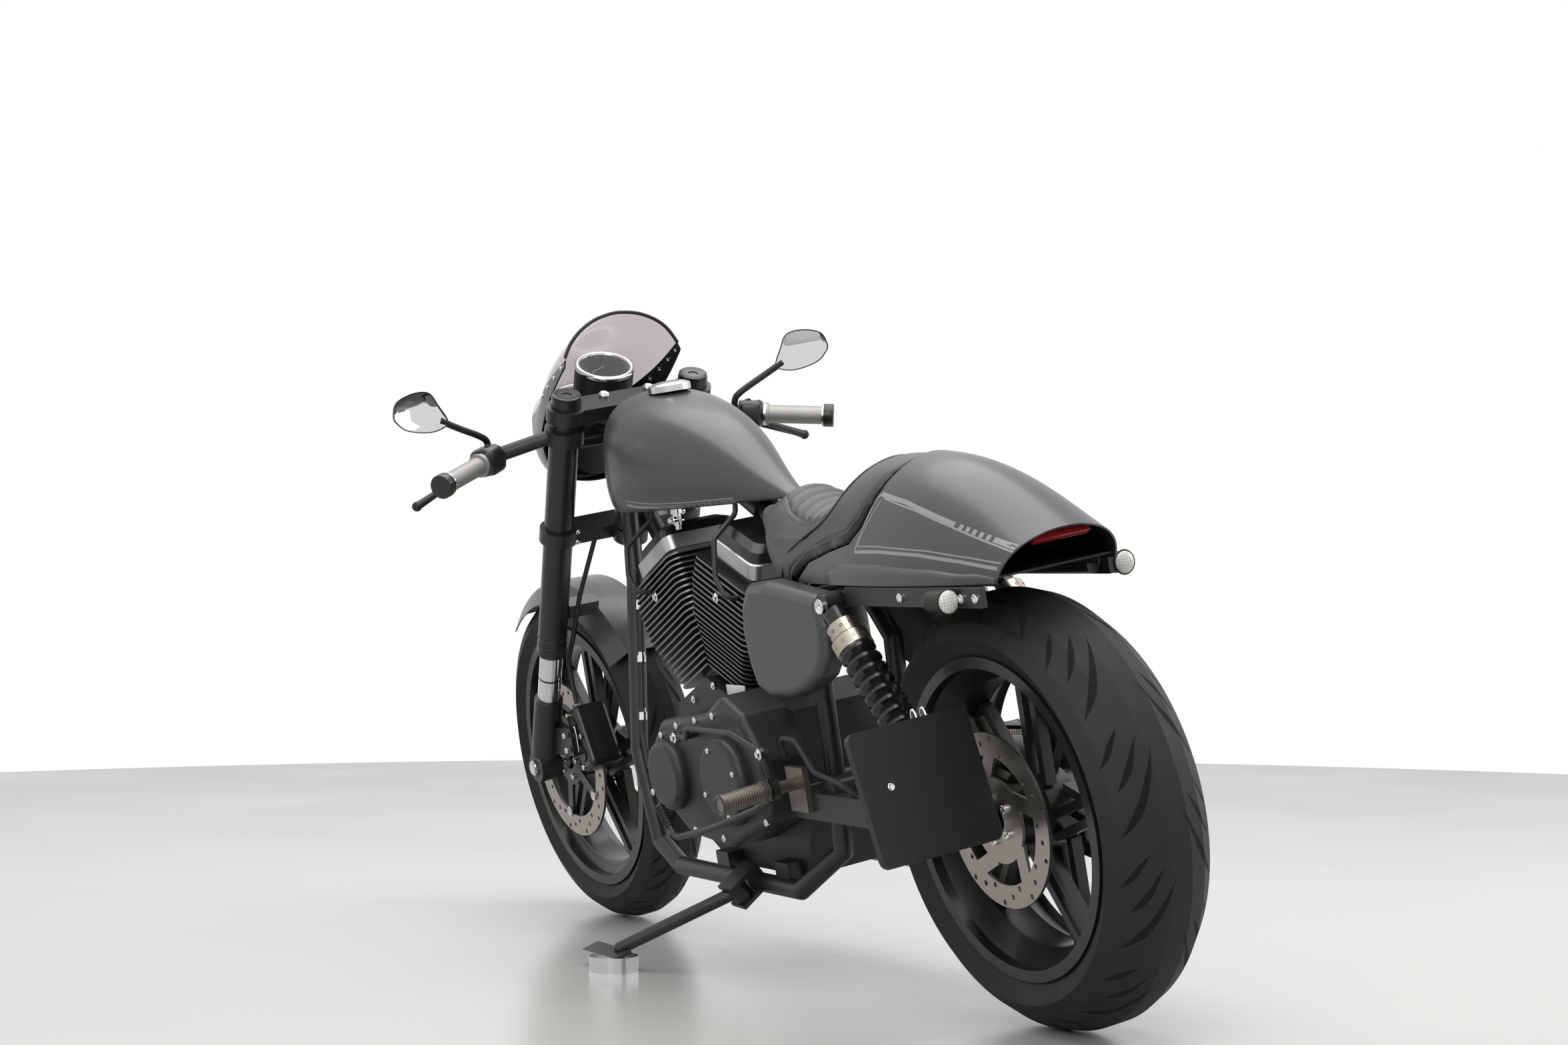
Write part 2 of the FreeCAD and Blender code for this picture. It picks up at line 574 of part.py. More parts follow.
# Handlebars: a clamp on each leg below the upper yoke, and a short bar swept back and down.
bars, grips, controls, mirrors = [], [], [], []
for side, word in ((1, "left"), (-1, "right")):
    root = V(S.wheelbase - S.grip_root_back, side * S.grip_root_y, S.grip_root_z)
    tip = V(S.wheelbase - S.grip_tip_back, side * S.grip_reach, S.grip_tip_z)
    inward = (root - tip).normalize()
    clamp_mid = on_axis(S.leg_top - 66, S.leg_offset, side * S.leg_spread)
    shoulder = root + inward * 62
    ring = rod("bar_clamp_" + word, S.outer_tube_radius + 9, clamp_mid - AXIS * 14, clamp_mid + AXIS * 14)
    arm = rod("bar_arm_" + word, S.bar_radius + 2, clamp_mid + V(4, side * 26, 0), shoulder)
    knob = ball("bar_knob_" + word, S.bar_radius + 2, shoulder)
    tube = rod("bar_tube_" + word, S.bar_radius, shoulder, tip)
    hole = rod("bar_hole_" + word, S.outer_tube_radius, clamp_mid - AXIS * 60, clamp_mid + AXIS * 60)
    bars.append(cut("bar_" + word, fuse("bar_solid_" + word, [ring, arm, knob, tube]), hole))
    sleeve = rod("grip_sleeve_" + word, S.grip_radius, root, tip)
    flange = rod("grip_flange_" + word, S.grip_radius + 4, root, root - inward * 6)
    weight = rod("grip_end_" + word, S.grip_radius + 3, tip + inward * 4, tip - inward * 12)
    core = rod("grip_core_" + word, S.bar_radius, root + inward * 20, tip - inward * 0.01)
    grips.append(cut("grip_" + word, fuse("grip_solid_" + word, [sleeve, flange, weight]), core))
    switch_a, switch_b = root + inward * 6, root + inward * 50
    housing = rod("switch_" + word, S.grip_radius + 7, switch_a, switch_b)
    perch = rod("perch_" + word, 9, switch_b, switch_b + V(46, side * 6, -4))
    boss_top = switch_b + V(16, side * 2, 15)
    boss = rod("perch_boss_" + word, 8, switch_b + V(16, side * 2, 0), boss_top)
    lever_root = switch_b + V(44, side * 4, -4)
    lever_tip = V(S.wheelbase - S.lever_tip_back, side * S.lever_reach, S.lever_tip_z)
    lever = rod("lever_" + word, 6, lever_root, lever_tip)
    lever_end = ball("lever_end_" + word, 9, lever_tip)
    ways = fuse("control_ways_" + word, [rod("control_way_" + word, S.bar_radius, shoulder, tip),
                                         ball("control_knob_way_" + word, S.bar_radius + 2, shoulder),
                                         rod("control_arm_way_" + word, S.bar_radius + 2,
                                             clamp_mid + V(4, side * 26, 0), shoulder)])
    controls.append(cut("control_" + word, fuse("control_solid_" + word,
                                                [housing, perch, boss, lever, lever_end]),
                        ways))
    glass = V(S.wheelbase - S.mirror_back, side * S.mirror_y, S.mirror_z)
    stalk = pipe("mirror_stalk_" + word, 5.5, [boss_top + V(0, 0, S.seat_gap), boss_top + V(0, 0, 18),
                                               glass + V(4, -side * 30, -8)])
    plate = doc.addObject("Part::Ellipsoid", "mirror_head_" + word)
    for prop, value in (("Radius1", S.mirror_thick), ("Radius2", S.mirror_wide), ("Radius3", S.mirror_high)):
        bind(plate, prop, value)
    place(plate, tuple(glass), FreeCAD.Rotation(V(0.2 * side, -1, 0), V(0, 0, 1), V(-1, -0.2 * side, 0),
                                                "ZXY"))
    mirrors.append(fuse("mirror_" + word, [stalk, plate]))
node(compound("handlebars", bars), "handlebars")
node(compound("grips", grips), "grips")
node(compound("bar_controls", controls), "bar_controls")
node(compound("mirrors", mirrors), "mirrors")

# Round instrument on a bracket in front of the upper yoke.
gauge_axis = V(-0.5, 0, 0.866)
gauge_face = V(S.wheelbase - S.gauge_back, 0, S.gauge_z)
gauge_bowl = rod("gauge_bowl", S.gauge_radius, gauge_face - gauge_axis * S.gauge_depth, gauge_face)
gauge_stem = rod("gauge_stem", 12, gauge_face - gauge_axis * S.gauge_depth, on_axis(S.leg_top - 28, 44))
yoke_front = half_space(tuple(on_axis(S.leg_top - 28, 1.5 * S.leg_offset + 6 + S.seat_gap)), tuple(AHEAD))
node(common("gauge", fuse("gauge_solid", [gauge_bowl, gauge_stem]), feature("yoke_front", yoke_front)),
     "gauge")

# Headlamp: a bowl in the nose of the fairing, on an arm from the yokes.
lamp_front = V(S.wheelbase - S.lamp_front_back - 4, 0, S.lamp_z)
lamp_back = lamp_front - V(S.lamp_depth, 0, 0)
lamp_bowl = rod("lamp_bowl", S.lamp_radius, lamp_back, lamp_front)
arm_root = on_axis(905, 56)
lamp_arm = rod("lamp_arm", 10, lamp_back, arm_root)
lamp_bar = rod("lamp_bar", 9, arm_root - V(0, S.leg_spread, 0), arm_root + V(0, S.leg_spread, 0))
lamp_ways = fuse("lamp_ways", [rod("lamp_way", S.outer_tube_radius + S.seat_gap,
                                   on_axis(800, S.leg_offset, side * S.leg_spread),
                                   on_axis(1000, S.leg_offset, side * S.leg_spread)) for side in (1, -1)])


def fairing_form(inset):
    """The nose fairing and its screen in one form, widening back from the lamp's ring."""
    nose_x = float(S.wheelbase - S.lamp_front_back)
    ring = float(S.lamp_radius) + 8
    share = float(S.fairing_half) / 126
    stations = [(0, S.lamp_z - ring, S.lamp_z + ring, ring), (-55, 856, 1046, 108 * share),
                (-125, 850, 1098, 119 * share),
                (-195, 850, 1136, 124 * share), (-265, 850, 1158, 126 * share)]
    return loft([oval(nose_x + back + inset * (2 if back == 0 else 0), float(low) + inset, float(top) - inset,
                      float(half) - inset, 2.5, 2.5) for back, low, top, half in stations])


def fairing_solid(inset):
    """The fairing's form, ended at its rear edge."""
    nose_x = float(S.wheelbase - S.lamp_front_back)
    edge = [(-247, 1300), (-247, 1070), (-150, 1012), (-96, 962), (-66, 900), (-56, 800), (100, 800),
            (100, 1300)]
    return fairing_form(inset).common(prism([(nose_x + x, z) for x, z in edge], -300, 300))


lamp_rim = rod("lamp_rim", S.lamp_radius + 20, lamp_front - V(12, 0, 0), lamp_front)
lamp_room = feature("lamp_room", fairing_form(float(S.fairing_wall + S.seat_gap)))
lamp_shape = common("lamp_shape", fuse("lamp_body", [lamp_bowl, lamp_rim]), lamp_room)
node(cut("headlamp", fuse("lamp_solid", [lamp_shape, lamp_arm, lamp_bar]), lamp_ways), "headlamp")
fairing_skin = fairing_solid(0).cut(fairing_solid(float(S.fairing_wall)))
screen_side = half_space((float(S.wheelbase) - 367, 0, float(S.screen_line)), (0.353, 0, 0.936))
node(feature("windscreen", fairing_skin.common(screen_side)), "windscreen")
node(feature("fairing", fairing_skin.cut(screen_side)), "fairing")

# Front mudguard: an arched sheet over the tyre, on stays from the fork feet.
guard_in = S.front_tyre_radius + S.mudguard_gap
guard_ring = turned_body("mudguard_ring", [
    (guard_in - 34, S.mudguard_half), (guard_in, S.mudguard_half * 0.6), (guard_in + 2, 0),
    (guard_in, -S.mudguard_half * 0.6), (guard_in - 34, -S.mudguard_half),
    (guard_in - 34, -S.mudguard_half - S.mudguard_wall),
    (guard_in + S.mudguard_wall, -S.mudguard_half * 0.6 - S.mudguard_wall),
    (guard_in + 2 + S.mudguard_wall, 0), (guard_in + S.mudguard_wall,
                                          S.mudguard_half * 0.6 + S.mudguard_wall),
    (guard_in - 34, S.mudguard_half + S.mudguard_wall)])
at_front(guard_ring)
guard_span = feature("mudguard_span", Part.makeCylinder(
    500, 400, V(S.wheelbase, -200, S.front_tyre_radius), V(0, 1, 0), 88))
guard_span.Placement = FreeCAD.Placement(V(0, 0, 0), FreeCAD.Rotation(V(0, 1, 0), -52),
                                         V(S.wheelbase, 0, S.front_tyre_radius))
guard_arch = common("mudguard_arch", guard_ring, guard_span)
guard_pad = S.leg_spread - S.outer_tube_radius - S.seat_gap
stays = []
for side in (1, -1):
    stay_at = on_axis(606, S.leg_offset + 4)
    width = guard_pad - S.mudguard_half * 0.6
    stays.append(centred_block("mudguard_stay", (30, width, 26),
                               (stay_at.x, side * (guard_pad + S.mudguard_half * 0.6) / 2,
                                stay_at.z), FORK_TURN))
node(fuse("mudguard_front", [guard_arch] + stays), "mudguard_front")

# Front brake calipers, behind the fork legs.
caliper_turn = FreeCAD.Rotation(V(0, 1, 0), -float(S.caliper_angle))


def disc_room(name, radius, offset):
    """The space that a disc and its pads need inside a caliper."""
    low, high = offset - S.disc_thick / 2 - S.pad_gap, offset + S.disc_thick / 2 + S.pad_gap
    return turned_body(name, [(0, low), (radius + 5, low), (radius + 5, high), (0, high)])


def caliper_block(name, size, offset, radius):
    """A caliper's body in its own frame, X outward from the axle: rounded ends and two piston caps a side."""
    deep, wide, long = [float(n) for n in size]
    core = Part.makeBox(deep, wide, long, V(radius - deep, offset - wide / 2, -long / 2))
    rounded = core.makeFillet(11, [e for e in core.Edges if e.BoundBox.XMax > radius - deep + 0.1])
    caps = [Part.makeCylinder(15, wide + 6, V(radius - deep * 0.55, offset - wide / 2 - 3,
                                              reach * long * 0.24),
                              V(0, 1, 0)) for reach in (1, -1)]
    return feature(name, rounded.multiFuse(caps))


caliper_parts = []
for side in (1, -1):
    body = caliper_block("caliper_body", (S.caliper_depth, 2 * S.caliper_half, S.caliper_length),
                         side * float(S.front_disc_offset), float(S.front_disc_radius) + 16)
    place(body, (S.wheelbase, 0, S.front_tyre_radius), caliper_turn)
    slot = disc_room("caliper_slot", S.front_disc_radius, S.front_disc_offset * side)
    caliper_parts.append(cut("caliper", body, at_front(slot)))
node(compound("calipers_front", caliper_parts), "calipers_front")

# Engine: case, primary cover on the left, two finned cylinders and their rocker boxes.
deck_out, deck_drop = 121.7, 84.9
case_points = [(S.crank_x + 128, S.crank_z - 60), (S.crank_x + 128, S.crank_z + 60),
               (S.crank_x + deck_out, S.crank_z + deck_drop), (S.crank_x, S.crank_z + 135.3),
               (S.crank_x - deck_out, S.crank_z + deck_drop), (S.crank_x - 190, S.crank_z + 112),
               (S.crank_x - 290, S.crank_z + 90), (S.crank_x - 310, S.crank_z - 60),
               (S.crank_x - 250, S.case_bottom), (S.crank_x + 20, S.case_bottom),
               (S.crank_x + 90, S.case_bottom + 40)]
node(padded_body("engine_case", case_points, S.case_half * 2, -S.case_half), "engine_case")
primary_points = [(S.dome_x + 72, S.dome_z - 40), (S.dome_x + 74, S.dome_z + 40),
                  (S.dome_x + 20, S.dome_z + 92),
                  (S.dome_x - 150, S.dome_z + 112), (S.derby_x - 4, S.derby_z + 142),
                  (S.derby_x - 66, S.derby_z + 112), (S.derby_x - 118, S.derby_z + 40),
                  (S.derby_x - 112, S.derby_z - 62), (S.derby_x + 40, S.derby_z - 118),
                  (S.dome_x - 30, S.dome_z - 104)]
primary = padded_body("primary_case", primary_points, S.primary_depth, S.case_half)
add_fillet(primary, "primary_corners", 20, lambda e: e.BoundBox.XLength + e.BoundBox.ZLength < 0.1)
add_fillet(primary, "primary_round", 14, lambda e: abs(e.BoundBox.YMin - float(S.primary_depth)) < 0.1)
dome_start = S.case_half + S.primary_depth
domes = []
for name, x, z, radius in (("derby", S.derby_x, S.derby_z, S.derby_radius),
                           ("alternator", S.dome_x, S.dome_z, S.dome_radius)):
    dome = turned_body(name + "_dome", [(0, 0), (radius, 0), (radius, S.dome_height), (0, S.dome_height)])
    add_fillet(dome, name + "_round", 13, lambda e: abs(e.BoundBox.YMin - float(S.dome_height)) < 0.1)
    domes.append(place(dome, (x, dome_start, z)))
node(fuse("primary_cover", [primary] + domes), "primary_cover")


def bank_point(lean, along, forward=0.0, left=0.0):
    angle = math.radians(S.bank_angle) * lean
    up, ahead = V(math.sin(angle), 0, math.cos(angle)), V(math.cos(angle), 0, -math.sin(angle))
    return V(S.crank_x, left, S.crank_z) + up * along + ahead * forward


def rounded_section(turn, centre, half_long, half_wide, corner):
    """A rectangle with round corners, across a line that the turn stands up."""
    box = Part.makeBox(2 * half_long, 2 * half_wide, 10, V(-half_long, -half_wide, 0))
    box = box.makeFillet(corner, [e for e in box.Edges if e.BoundBox.ZLength > 9])
    wire = [f for f in box.Faces if f.CenterOfMass.z < 0.01][0].OuterWire.copy()
    wire.Placement = FreeCAD.Placement(centre, turn)
    return wire


def finned_cylinder(name, lean):
    """A barrel and head in one stack of fins that widens upwards, cut off where the two stacks meet."""
    turn = FreeCAD.Rotation(V(0, 1, 0), float(S.bank_angle) * lean)
    top = float(S.rocker_start)
    parts = [rod(name + "_barrel", S.barrel_radius, bank_point(lean, S.deck_height + S.seat_gap),
                 bank_point(lean, top))]
    for i in range(int((top - float(S.barrel_start)) / float(S.fin_pitch))):
        along = float(S.barrel_start) + i * float(S.fin_pitch)
        parts.append(centred_block("%s_fin%d" % (name, i), (S.fin_long + 40, S.fin_wide + 40, S.fin_thick),
                                   tuple(bank_point(lean, along)), turn))
    parts.append(centred_block(name + "_head", (132, 132, top - float(S.head_start)),
                               tuple(bank_point(lean, (top + float(S.head_start)) / 2)), turn))
    half_long, half_wide = float(S.fin_long) / 2, float(S.fin_wide) / 2
    stations = ((float(S.deck_height + S.seat_gap), 0.68, 0.76), (190, 0.84, 0.86), (236, 0.98, 0.98),
                (300, 1.0, 1.0), (top, 0.92, 0.95))
    stack = ruled_loft([rounded_section(turn, bank_point(lean, along), half_long * long, half_wide * wide, 22)
                        for along, long, wide in stations])
    stack = stack.common(half_space((float(S.crank_x) + lean, 0, 0), (lean, 0, 0)))
    return common(name, fuse(name + "_solid", parts), feature(name + "_stack", stack))


node(compound("cylinders", [finned_cylinder("cylinder_front", 1), finned_cylinder("cylinder_rear", -1)]),
     "cylinders")
boxes = []
for lean in (1, -1):
    turn = FreeCAD.Rotation(V(0, 1, 0), float(S.bank_angle) * lean)
    base = float(S.rocker_start) + float(S.seat_gap)
    levels = ((0, 75, 77), (26, 75, 77), (28, 71, 73), (44, 67, 69), (float(S.rocker_height), 54, 56))
    boxes.append(feature("rocker_box", ruled_loft([
        rounded_section(turn, bank_point(lean, base + rise, lean * 6), long, wide, 18)
        for rise, long, wide in levels])))
node(compound("rocker_boxes", boxes), "rocker_boxes")

# Air cleaner on the right, between the cylinders.
cleaner_z = float(S.crank_z) + 322
cleaner_face = -S.fin_wide / 2 - S.seat_gap
cleaner = rod("cleaner_can", S.cleaner_radius, (S.crank_x, cleaner_face, cleaner_z),
              (S.crank_x, cleaner_face - S.cleaner_depth, cleaner_z))
throat = rod("cleaner_throat", 18, (S.crank_x, cleaner_face, cleaner_z), (S.crank_x, 0, cleaner_z))
node(fuse("air_cleaner", [cleaner, throat]), "air_cleaner")

# Exhaust: a header from each cylinder into two short mufflers low on the right.
pipes = []
for lean, level, word in ((1, 0, "front"), (-1, 1, "rear")):
    port = bank_point(lean, S.head_start + 40, lean * 20, -S.fin_wide / 2 - S.seat_gap)
    out = port + V(0, -54, 0)
    drop = V(S.crank_x + (110 if lean == 1 else -110), -165, 234 + 70 * level)
    join = V(S.peg_x - 60, -172, 236 + 72 * level)
    muffler_from = V(S.peg_x - 90, -206, 240 + 88 * level)
    pipes.append(swept_bar("header_" + word, S.pipe_radius, [port, out, drop, join, muffler_from], 28))
    pipes.append(rod("muffler_" + word, S.muffler_radius, muffler_from, muffler_from + V(-340, -8, 10)))
    pipes[-2:] = [fuse("exhaust_" + word, pipes[-2:])]
node(compound("exhaust", pipes), "exhaust")

def smooth_section(x, half_points):
    """A closed section across the machine, through points given for its left half from bottom to top."""
    left = [V(x, y, z) for y, z in half_points]
    right = [V(x, -p.y, p.z) for p in reversed(left) if p.y > 0.01]
    curve = Part.BSplineCurve()
    curve.interpolate(Points=left + right, PeriodicFlag=True)
    return Part.Wire(curve.toShape())


# Fuel tank: a slim rear, full shoulders in front, tunnelled over the backbone.
TANK_STATIONS = [(-500, 16, 811), (-460, 27, 833), (-410, 43, 865), (-335, 68, 916), (-248, 92, 960),
                 (-158, 111, 990), (-78, 119, 1005), (-28, 113, 1006), (10, 94, 995)]
TANK_SHAPE = ((0.88, 0.014), (0.985, 0.14), (1, 0.34), (0.96, 0.58), (0.8, 0.82), (0.45, 0.965))
tank_wires = []
for forward, half, top in TANK_STATIONS:
    half *= float(S.tank_half) / 119
    low, rise = float(S.tank_floor), top + float(S.tank_top) - 1003 - float(S.tank_floor)
    side_points = [(0, low), (half * 0.62, low)] + [(half * wide, low + rise * up) for wide, up in TANK_SHAPE]
    tank_wires.append(smooth_section(float(S.tank_front) + forward, side_points + [(0, low + rise)]))
spine = [V(S.wheelbase - 340, 0, 850), V(770, 0, 826), V(690, 0, 786)]
tunnel_half = float(S.backbone_radius) + 8
tunnel = prism([(668, 790), (668, 820), (745, 876), (1180, 876), (1180, 790)], -tunnel_half, tunnel_half)
cap_hole = Part.makeCylinder(float(S.cap_radius + S.seat_gap), 60, V(S.cap_x, 0, S.tank_top - 4))
# The front is cut back so that the yokes and the legs clear it at full lock.
room_points = [fork_point(u, v, 860) for u, v in ((300, 300), (-62, 300), (-62, 132), (-38, 80), (-38, -80),
                                                  (-62, -132), (-62, -300), (300, -300), (300, 300))]
turning_room = Part.Face(Part.makePolygon(room_points)).extrude(AXIS * 400)
node(feature("fuel_tank", loft(tank_wires).cut(tunnel).cut(cap_hole).cut(turning_room)), "fuel_tank")
cap = rod("cap_base", S.cap_radius, (S.cap_x, 0, S.tank_top - 4 + S.seat_gap), (S.cap_x, 0, S.tank_top + 8))
node(cap, "filler_cap")

# Tail: a hollow shell behind the seat, with the seat's scalloped edge in front and an arched rear opening.
TAIL_STATIONS = [(460, 102, 826), (410, 107, 841), (330, 114, 860), (240, 124, 866), (142, 128, 862),
                 (60, 126, 850),
                 (-40, 118, 817), (-120, 107, 775), (-171, 99, 744), (-250, 84, 700)]
FLANK = ((1, 0), (0.968, 0.25), (0.866, 0.5), (0.714, 0.7), (0.51, 0.86), (0.28, 0.96), (0, 1))
SEAT_EDGE = [(432, 600), (428, 686), (384, 712), (306, 729), (230, 742), (192, 768), (174, 800), (160, 828),
             (146, 850), (110, 1000), (-600, 1000), (-600, 600)]


def skin_section(x, half, top, low, waist):
    """A section of the tail or the seat: round above the waist, tucked in below it."""
    under = [(0, low), (half * 0.75, low), (half * 0.99, low + (waist - low) * 0.3)]
    return smooth_section(x, under + [(half * wide, waist + (top - waist) * up) for wide, up in FLANK])


def tail_form(inset):
    share = float(S.tail_half) / 128
    rise = float(S.tail_top) - 862
    return loft([skin_section(x, half * share - inset, top + rise - inset, 640, float(S.tail_floor))
                 for x, half, top in TAIL_STATIONS])


tail_edge = prism(SEAT_EDGE, -300, 300)
rear_opening = half_space((-135, 0, 684), (-1, 0, -0.6))
below_tail = half_space((0, 0, float(S.tail_floor)), (0, 0, -1))
tail = tail_form(0).cut(tail_form(float(S.tail_wall))).common(tail_edge).cut(below_tail).cut(rear_opening)
node(feature("tail_shell", tail), "tail_shell")

# Seat: a low nose on the tank, a dished middle and a bolster that meets the tail's edge.
SEAT_STATIONS = [(598, 52, 790, 764), (562, 79, 802, 734), (520, 96, 807, 692), (480, 105, 795, 678),
                 (440, 108, 787, 676), (400, 110, 789, 676), (360, 112, 802, 676), (320, 115, 824, 676),
                 (280, 119, 845, 676), (240, 123, 857, 676), (200, 126, 862, 676), (160, 127.5, 862, 676),
                 (120, 128, 861, 676), (80, 127, 857, 676)]
seat_form = loft([skin_section(x, half * float(S.tail_half) / 128, top, low, low + 24)
                  for x, half, top, low in SEAT_STATIONS])
beside_tail = prism([(x + 0.3, z + 0.3) for x, z in SEAT_EDGE], -300, 300)
seat_hollow = Part.makeBox(206, 192, 142, V(300, -96, 600))
seat_hollow = seat_hollow.fuse(Part.makeBox(140, 134, 158, V(500, -67, 600)))
seat_hollow = seat_hollow.fuse(Part.makeBox(240, 236, 100, V(120, -118, 600)))
seat_feet = [Part.makeBox(30, 22, 80, V(318, side * 82 - 11, 676)) for side in (1, -1)]
node(feature("seat", seat_form.cut(beside_tail).cut(seat_hollow).multiFuse(seat_feet)), "seat")

# Tail lamp strip and the flat inner mudguard, fitted under the skin at the rear opening.
under_skin = tail_form(float(S.tail_wall) + 0.3)
lamp_block = centred_block("lamp_block", (12, 96, 19), (-152, 0, 736), FreeCAD.Rotation(V(0, 1, 0), 31))
node(common("tail_lamp", lamp_block, feature("tail_lamp_room", under_skin)), "tail_lamp")
tray = Part.makeBox(372, 300, 3, V(-132, -150, 687)).common(under_skin)
lips = [Part.makeBox(330, 3, 16, V(-112, side * 88 - 1.5, 674)) for side in (1, -1)]
node(feature("mudguard_rear", tray.multiFuse(lips)), "mudguard_rear")

# Frame: steering head, backbone, twin downtubes, cradle and rear rails.
head_solid = rod("head_tube", S.head_tube_radius, on_axis(S.head_low), on_axis(S.head_high))
saddles = [centred_block("saddle", (44, 40, 44), (x, 0, 876 - S.seat_gap - 22)) for x in (774, 1000)]
tubes = [head_solid, pipe("backbone", S.backbone_radius, spine)] + saddles + [
         rod("pivot_cross", S.backbone_radius, (S.pivot_x, -S.pivot_half, S.pivot_z),
             (S.pivot_x, S.pivot_half, S.pivot_z)),
         rod("pivot_pin", S.pivot_pin, (S.pivot_x, -S.arm_half - S.arm_wide / 2, S.pivot_z),
             (S.pivot_x, S.arm_half + S.arm_wide / 2, S.pivot_z))]
for side in (1, -1):
    tubes.append(pipe("cradle", S.frame_tube, [
        V(S.wheelbase - 317, side * 14, 806), V(S.wheelbase - 353, side * 40, 690),
        V(S.wheelbase - 373, side * 100, 372), V(S.wheelbase - 419, side * 108, 208),
        V(S.wheelbase - 495, side * 112, 172), V(575, side * 112, 172), V(S.pivot_x + 6, side * 72, 236),
        V(S.pivot_x, side * 68, S.pivot_z), V(S.pivot_x - 14, side * 70, 560), V(536, side * 50, 690),
        V(690, 0, 786)]))
    tubes.append(pipe("seat_rail", S.rail_radius, [
        V(505, side * 59, 640), V(330, side * 84, 663), V(236, side * 113.7, 667), V(-60, side * 113.7,
                                                                                     667)]))
    tubes.append(centred_block("cover_lug", (24, 50, 20),
                               (340, side * (S.cover_half - S.cover_depth - S.seat_gap - 25), 656)))
    for x in (630, 840):
        tubes.append(centred_block("engine_mount", (44, 30, 44),
                                   (x, side * (S.case_half + S.seat_gap + 15), S.case_bottom + 6)))
    tubes.append(rod("shock_stud", 9, (S.shock_top_x, side * 96, S.shock_top_z),
                     (S.shock_top_x, side * (S.shock_half + 16), S.shock_top_z)))

# The side stand's clevis hangs from the left rail, with its pin leaned outwards.
stand_axis = V(-0.043, 0.514, 0.857).normalize()
stand_pivot = V(S.stand_pivot_x, S.stand_pivot_y, S.stand_pivot_z)
stand_turn = FreeCAD.Rotation(V(0, 0, 1), stand_axis)
clevis_high = S.knuckle_height + 2 * S.clevis_gap + 14
inward = stand_turn.multVec(V(0, -1, 0))
clevis = centred_block("clevis", (46, 64, clevis_high), tuple(stand_pivot + inward * 14), stand_turn)
clevis_slot = centred_block("clevis_slot", (60, 64, S.knuckle_height + 2 * S.clevis_gap),
                            tuple(stand_pivot - inward * 12), stand_turn)
tubes.append(cut("clevis_cut", clevis, clevis_slot))
tubes.append(rod("stand_pin", S.stand_pin, stand_pivot - stand_axis * (clevis_high / 2 + 4),
                 stand_pivot + stand_axis * (clevis_high / 2)))
frame_solid = fuse("frame_solid", tubes)
head_bore = rod("head_bore", S.stem_radius + S.running_gap, on_axis(S.head_low - 60),
                on_axis(S.head_high + 60))
node(cut("frame_tubes", frame_solid, head_bore), "frame_tubes")

# Swingarm, belt drive, shocks.
arms = [rod("arm_cross", 22, (S.pivot_x - 78, -S.arm_half, S.pivot_z),
            (S.pivot_x - 78, S.arm_half, S.pivot_z))]
for side in (1, -1):
    arm_y = side * S.arm_half - S.arm_wide / 2
    arms.append(block("arm", (S.pivot_x + 44, S.arm_wide, S.arm_high),
                      (-24, arm_y, S.pivot_z - S.arm_high * 0.9)))
    arms.append(rod("shock_foot", 9, (S.shock_low_x, side * S.arm_half, S.shock_low_z),
                    (S.shock_low_x, side * (S.shock_half + 16), S.shock_low_z)))
    arms.append(block("shock_ear", (40, S.arm_wide, 36), (S.shock_low_x - 20, arm_y, S.shock_low_z - 28)))
caliper_face = S.rear_disc_offset + 28 + S.seat_gap
arms.append(block("caliper_plate", (56, S.arm_half - caliper_face, 64), (60, caliper_face, 330)))
arm_solid = fuse("arm_solid", arms)
arm_holes = fuse("arm_holes", [
    rod("axle_hole", S.axle_radius, (0, -200, S.rear_tyre_radius), (0, 200, S.rear_tyre_radius)),
    rod("pivot_hole", S.pivot_pin, (S.pivot_x, -200, S.pivot_z), (S.pivot_x, 200, S.pivot_z))])
node(cut("swingarm", arm_solid, arm_holes), "swingarm")


def belt_band(inset):
    """The space inside a belt round both pulleys, as a face in the XZ plane."""
    rear, front = float(S.pulley_radius) + inset, float(S.front_pulley_radius) + inset
    a, b = V(0, 0, S.rear_tyre_radius), V(S.front_pulley_reach, 0, S.front_pulley_height)
    line = b - a
    heading = math.atan2(line.z, line.x)
    spread = math.acos((rear - front) / line.Length)
    corners = {}
    for word, centre, radius in (("a", a, rear), ("b", b, front)):
        for sign in (1, -1):
            t = heading + sign * spread
            corners[word, sign] = centre + V(math.cos(t), 0, math.sin(t)) * radius
    back = a - V(math.cos(heading), 0, math.sin(heading)) * rear
    ahead = b + V(math.cos(heading), 0, math.sin(heading)) * front
    wire = Part.Wire([Part.Arc(corners["a", 1], back, corners["a", -1]).toShape(),
                      Part.makeLine(corners["a", -1], corners["b", -1]),
                      Part.Arc(corners["b", -1], ahead, corners["b", 1]).toShape(),
                      Part.makeLine(corners["b", 1], corners["a", 1])])
    return Part.Face(wire)


belt_gap = 0.4
belt_face = belt_band(float(S.belt_thick) + belt_gap).cut(belt_band(belt_gap))
belt_shape = belt_face.extrude(V(0, float(S.belt_width), 0))
belt_shape.translate(V(0, float(pulley_right), 0))
node(feature("drive_belt", belt_shape), "drive_belt")

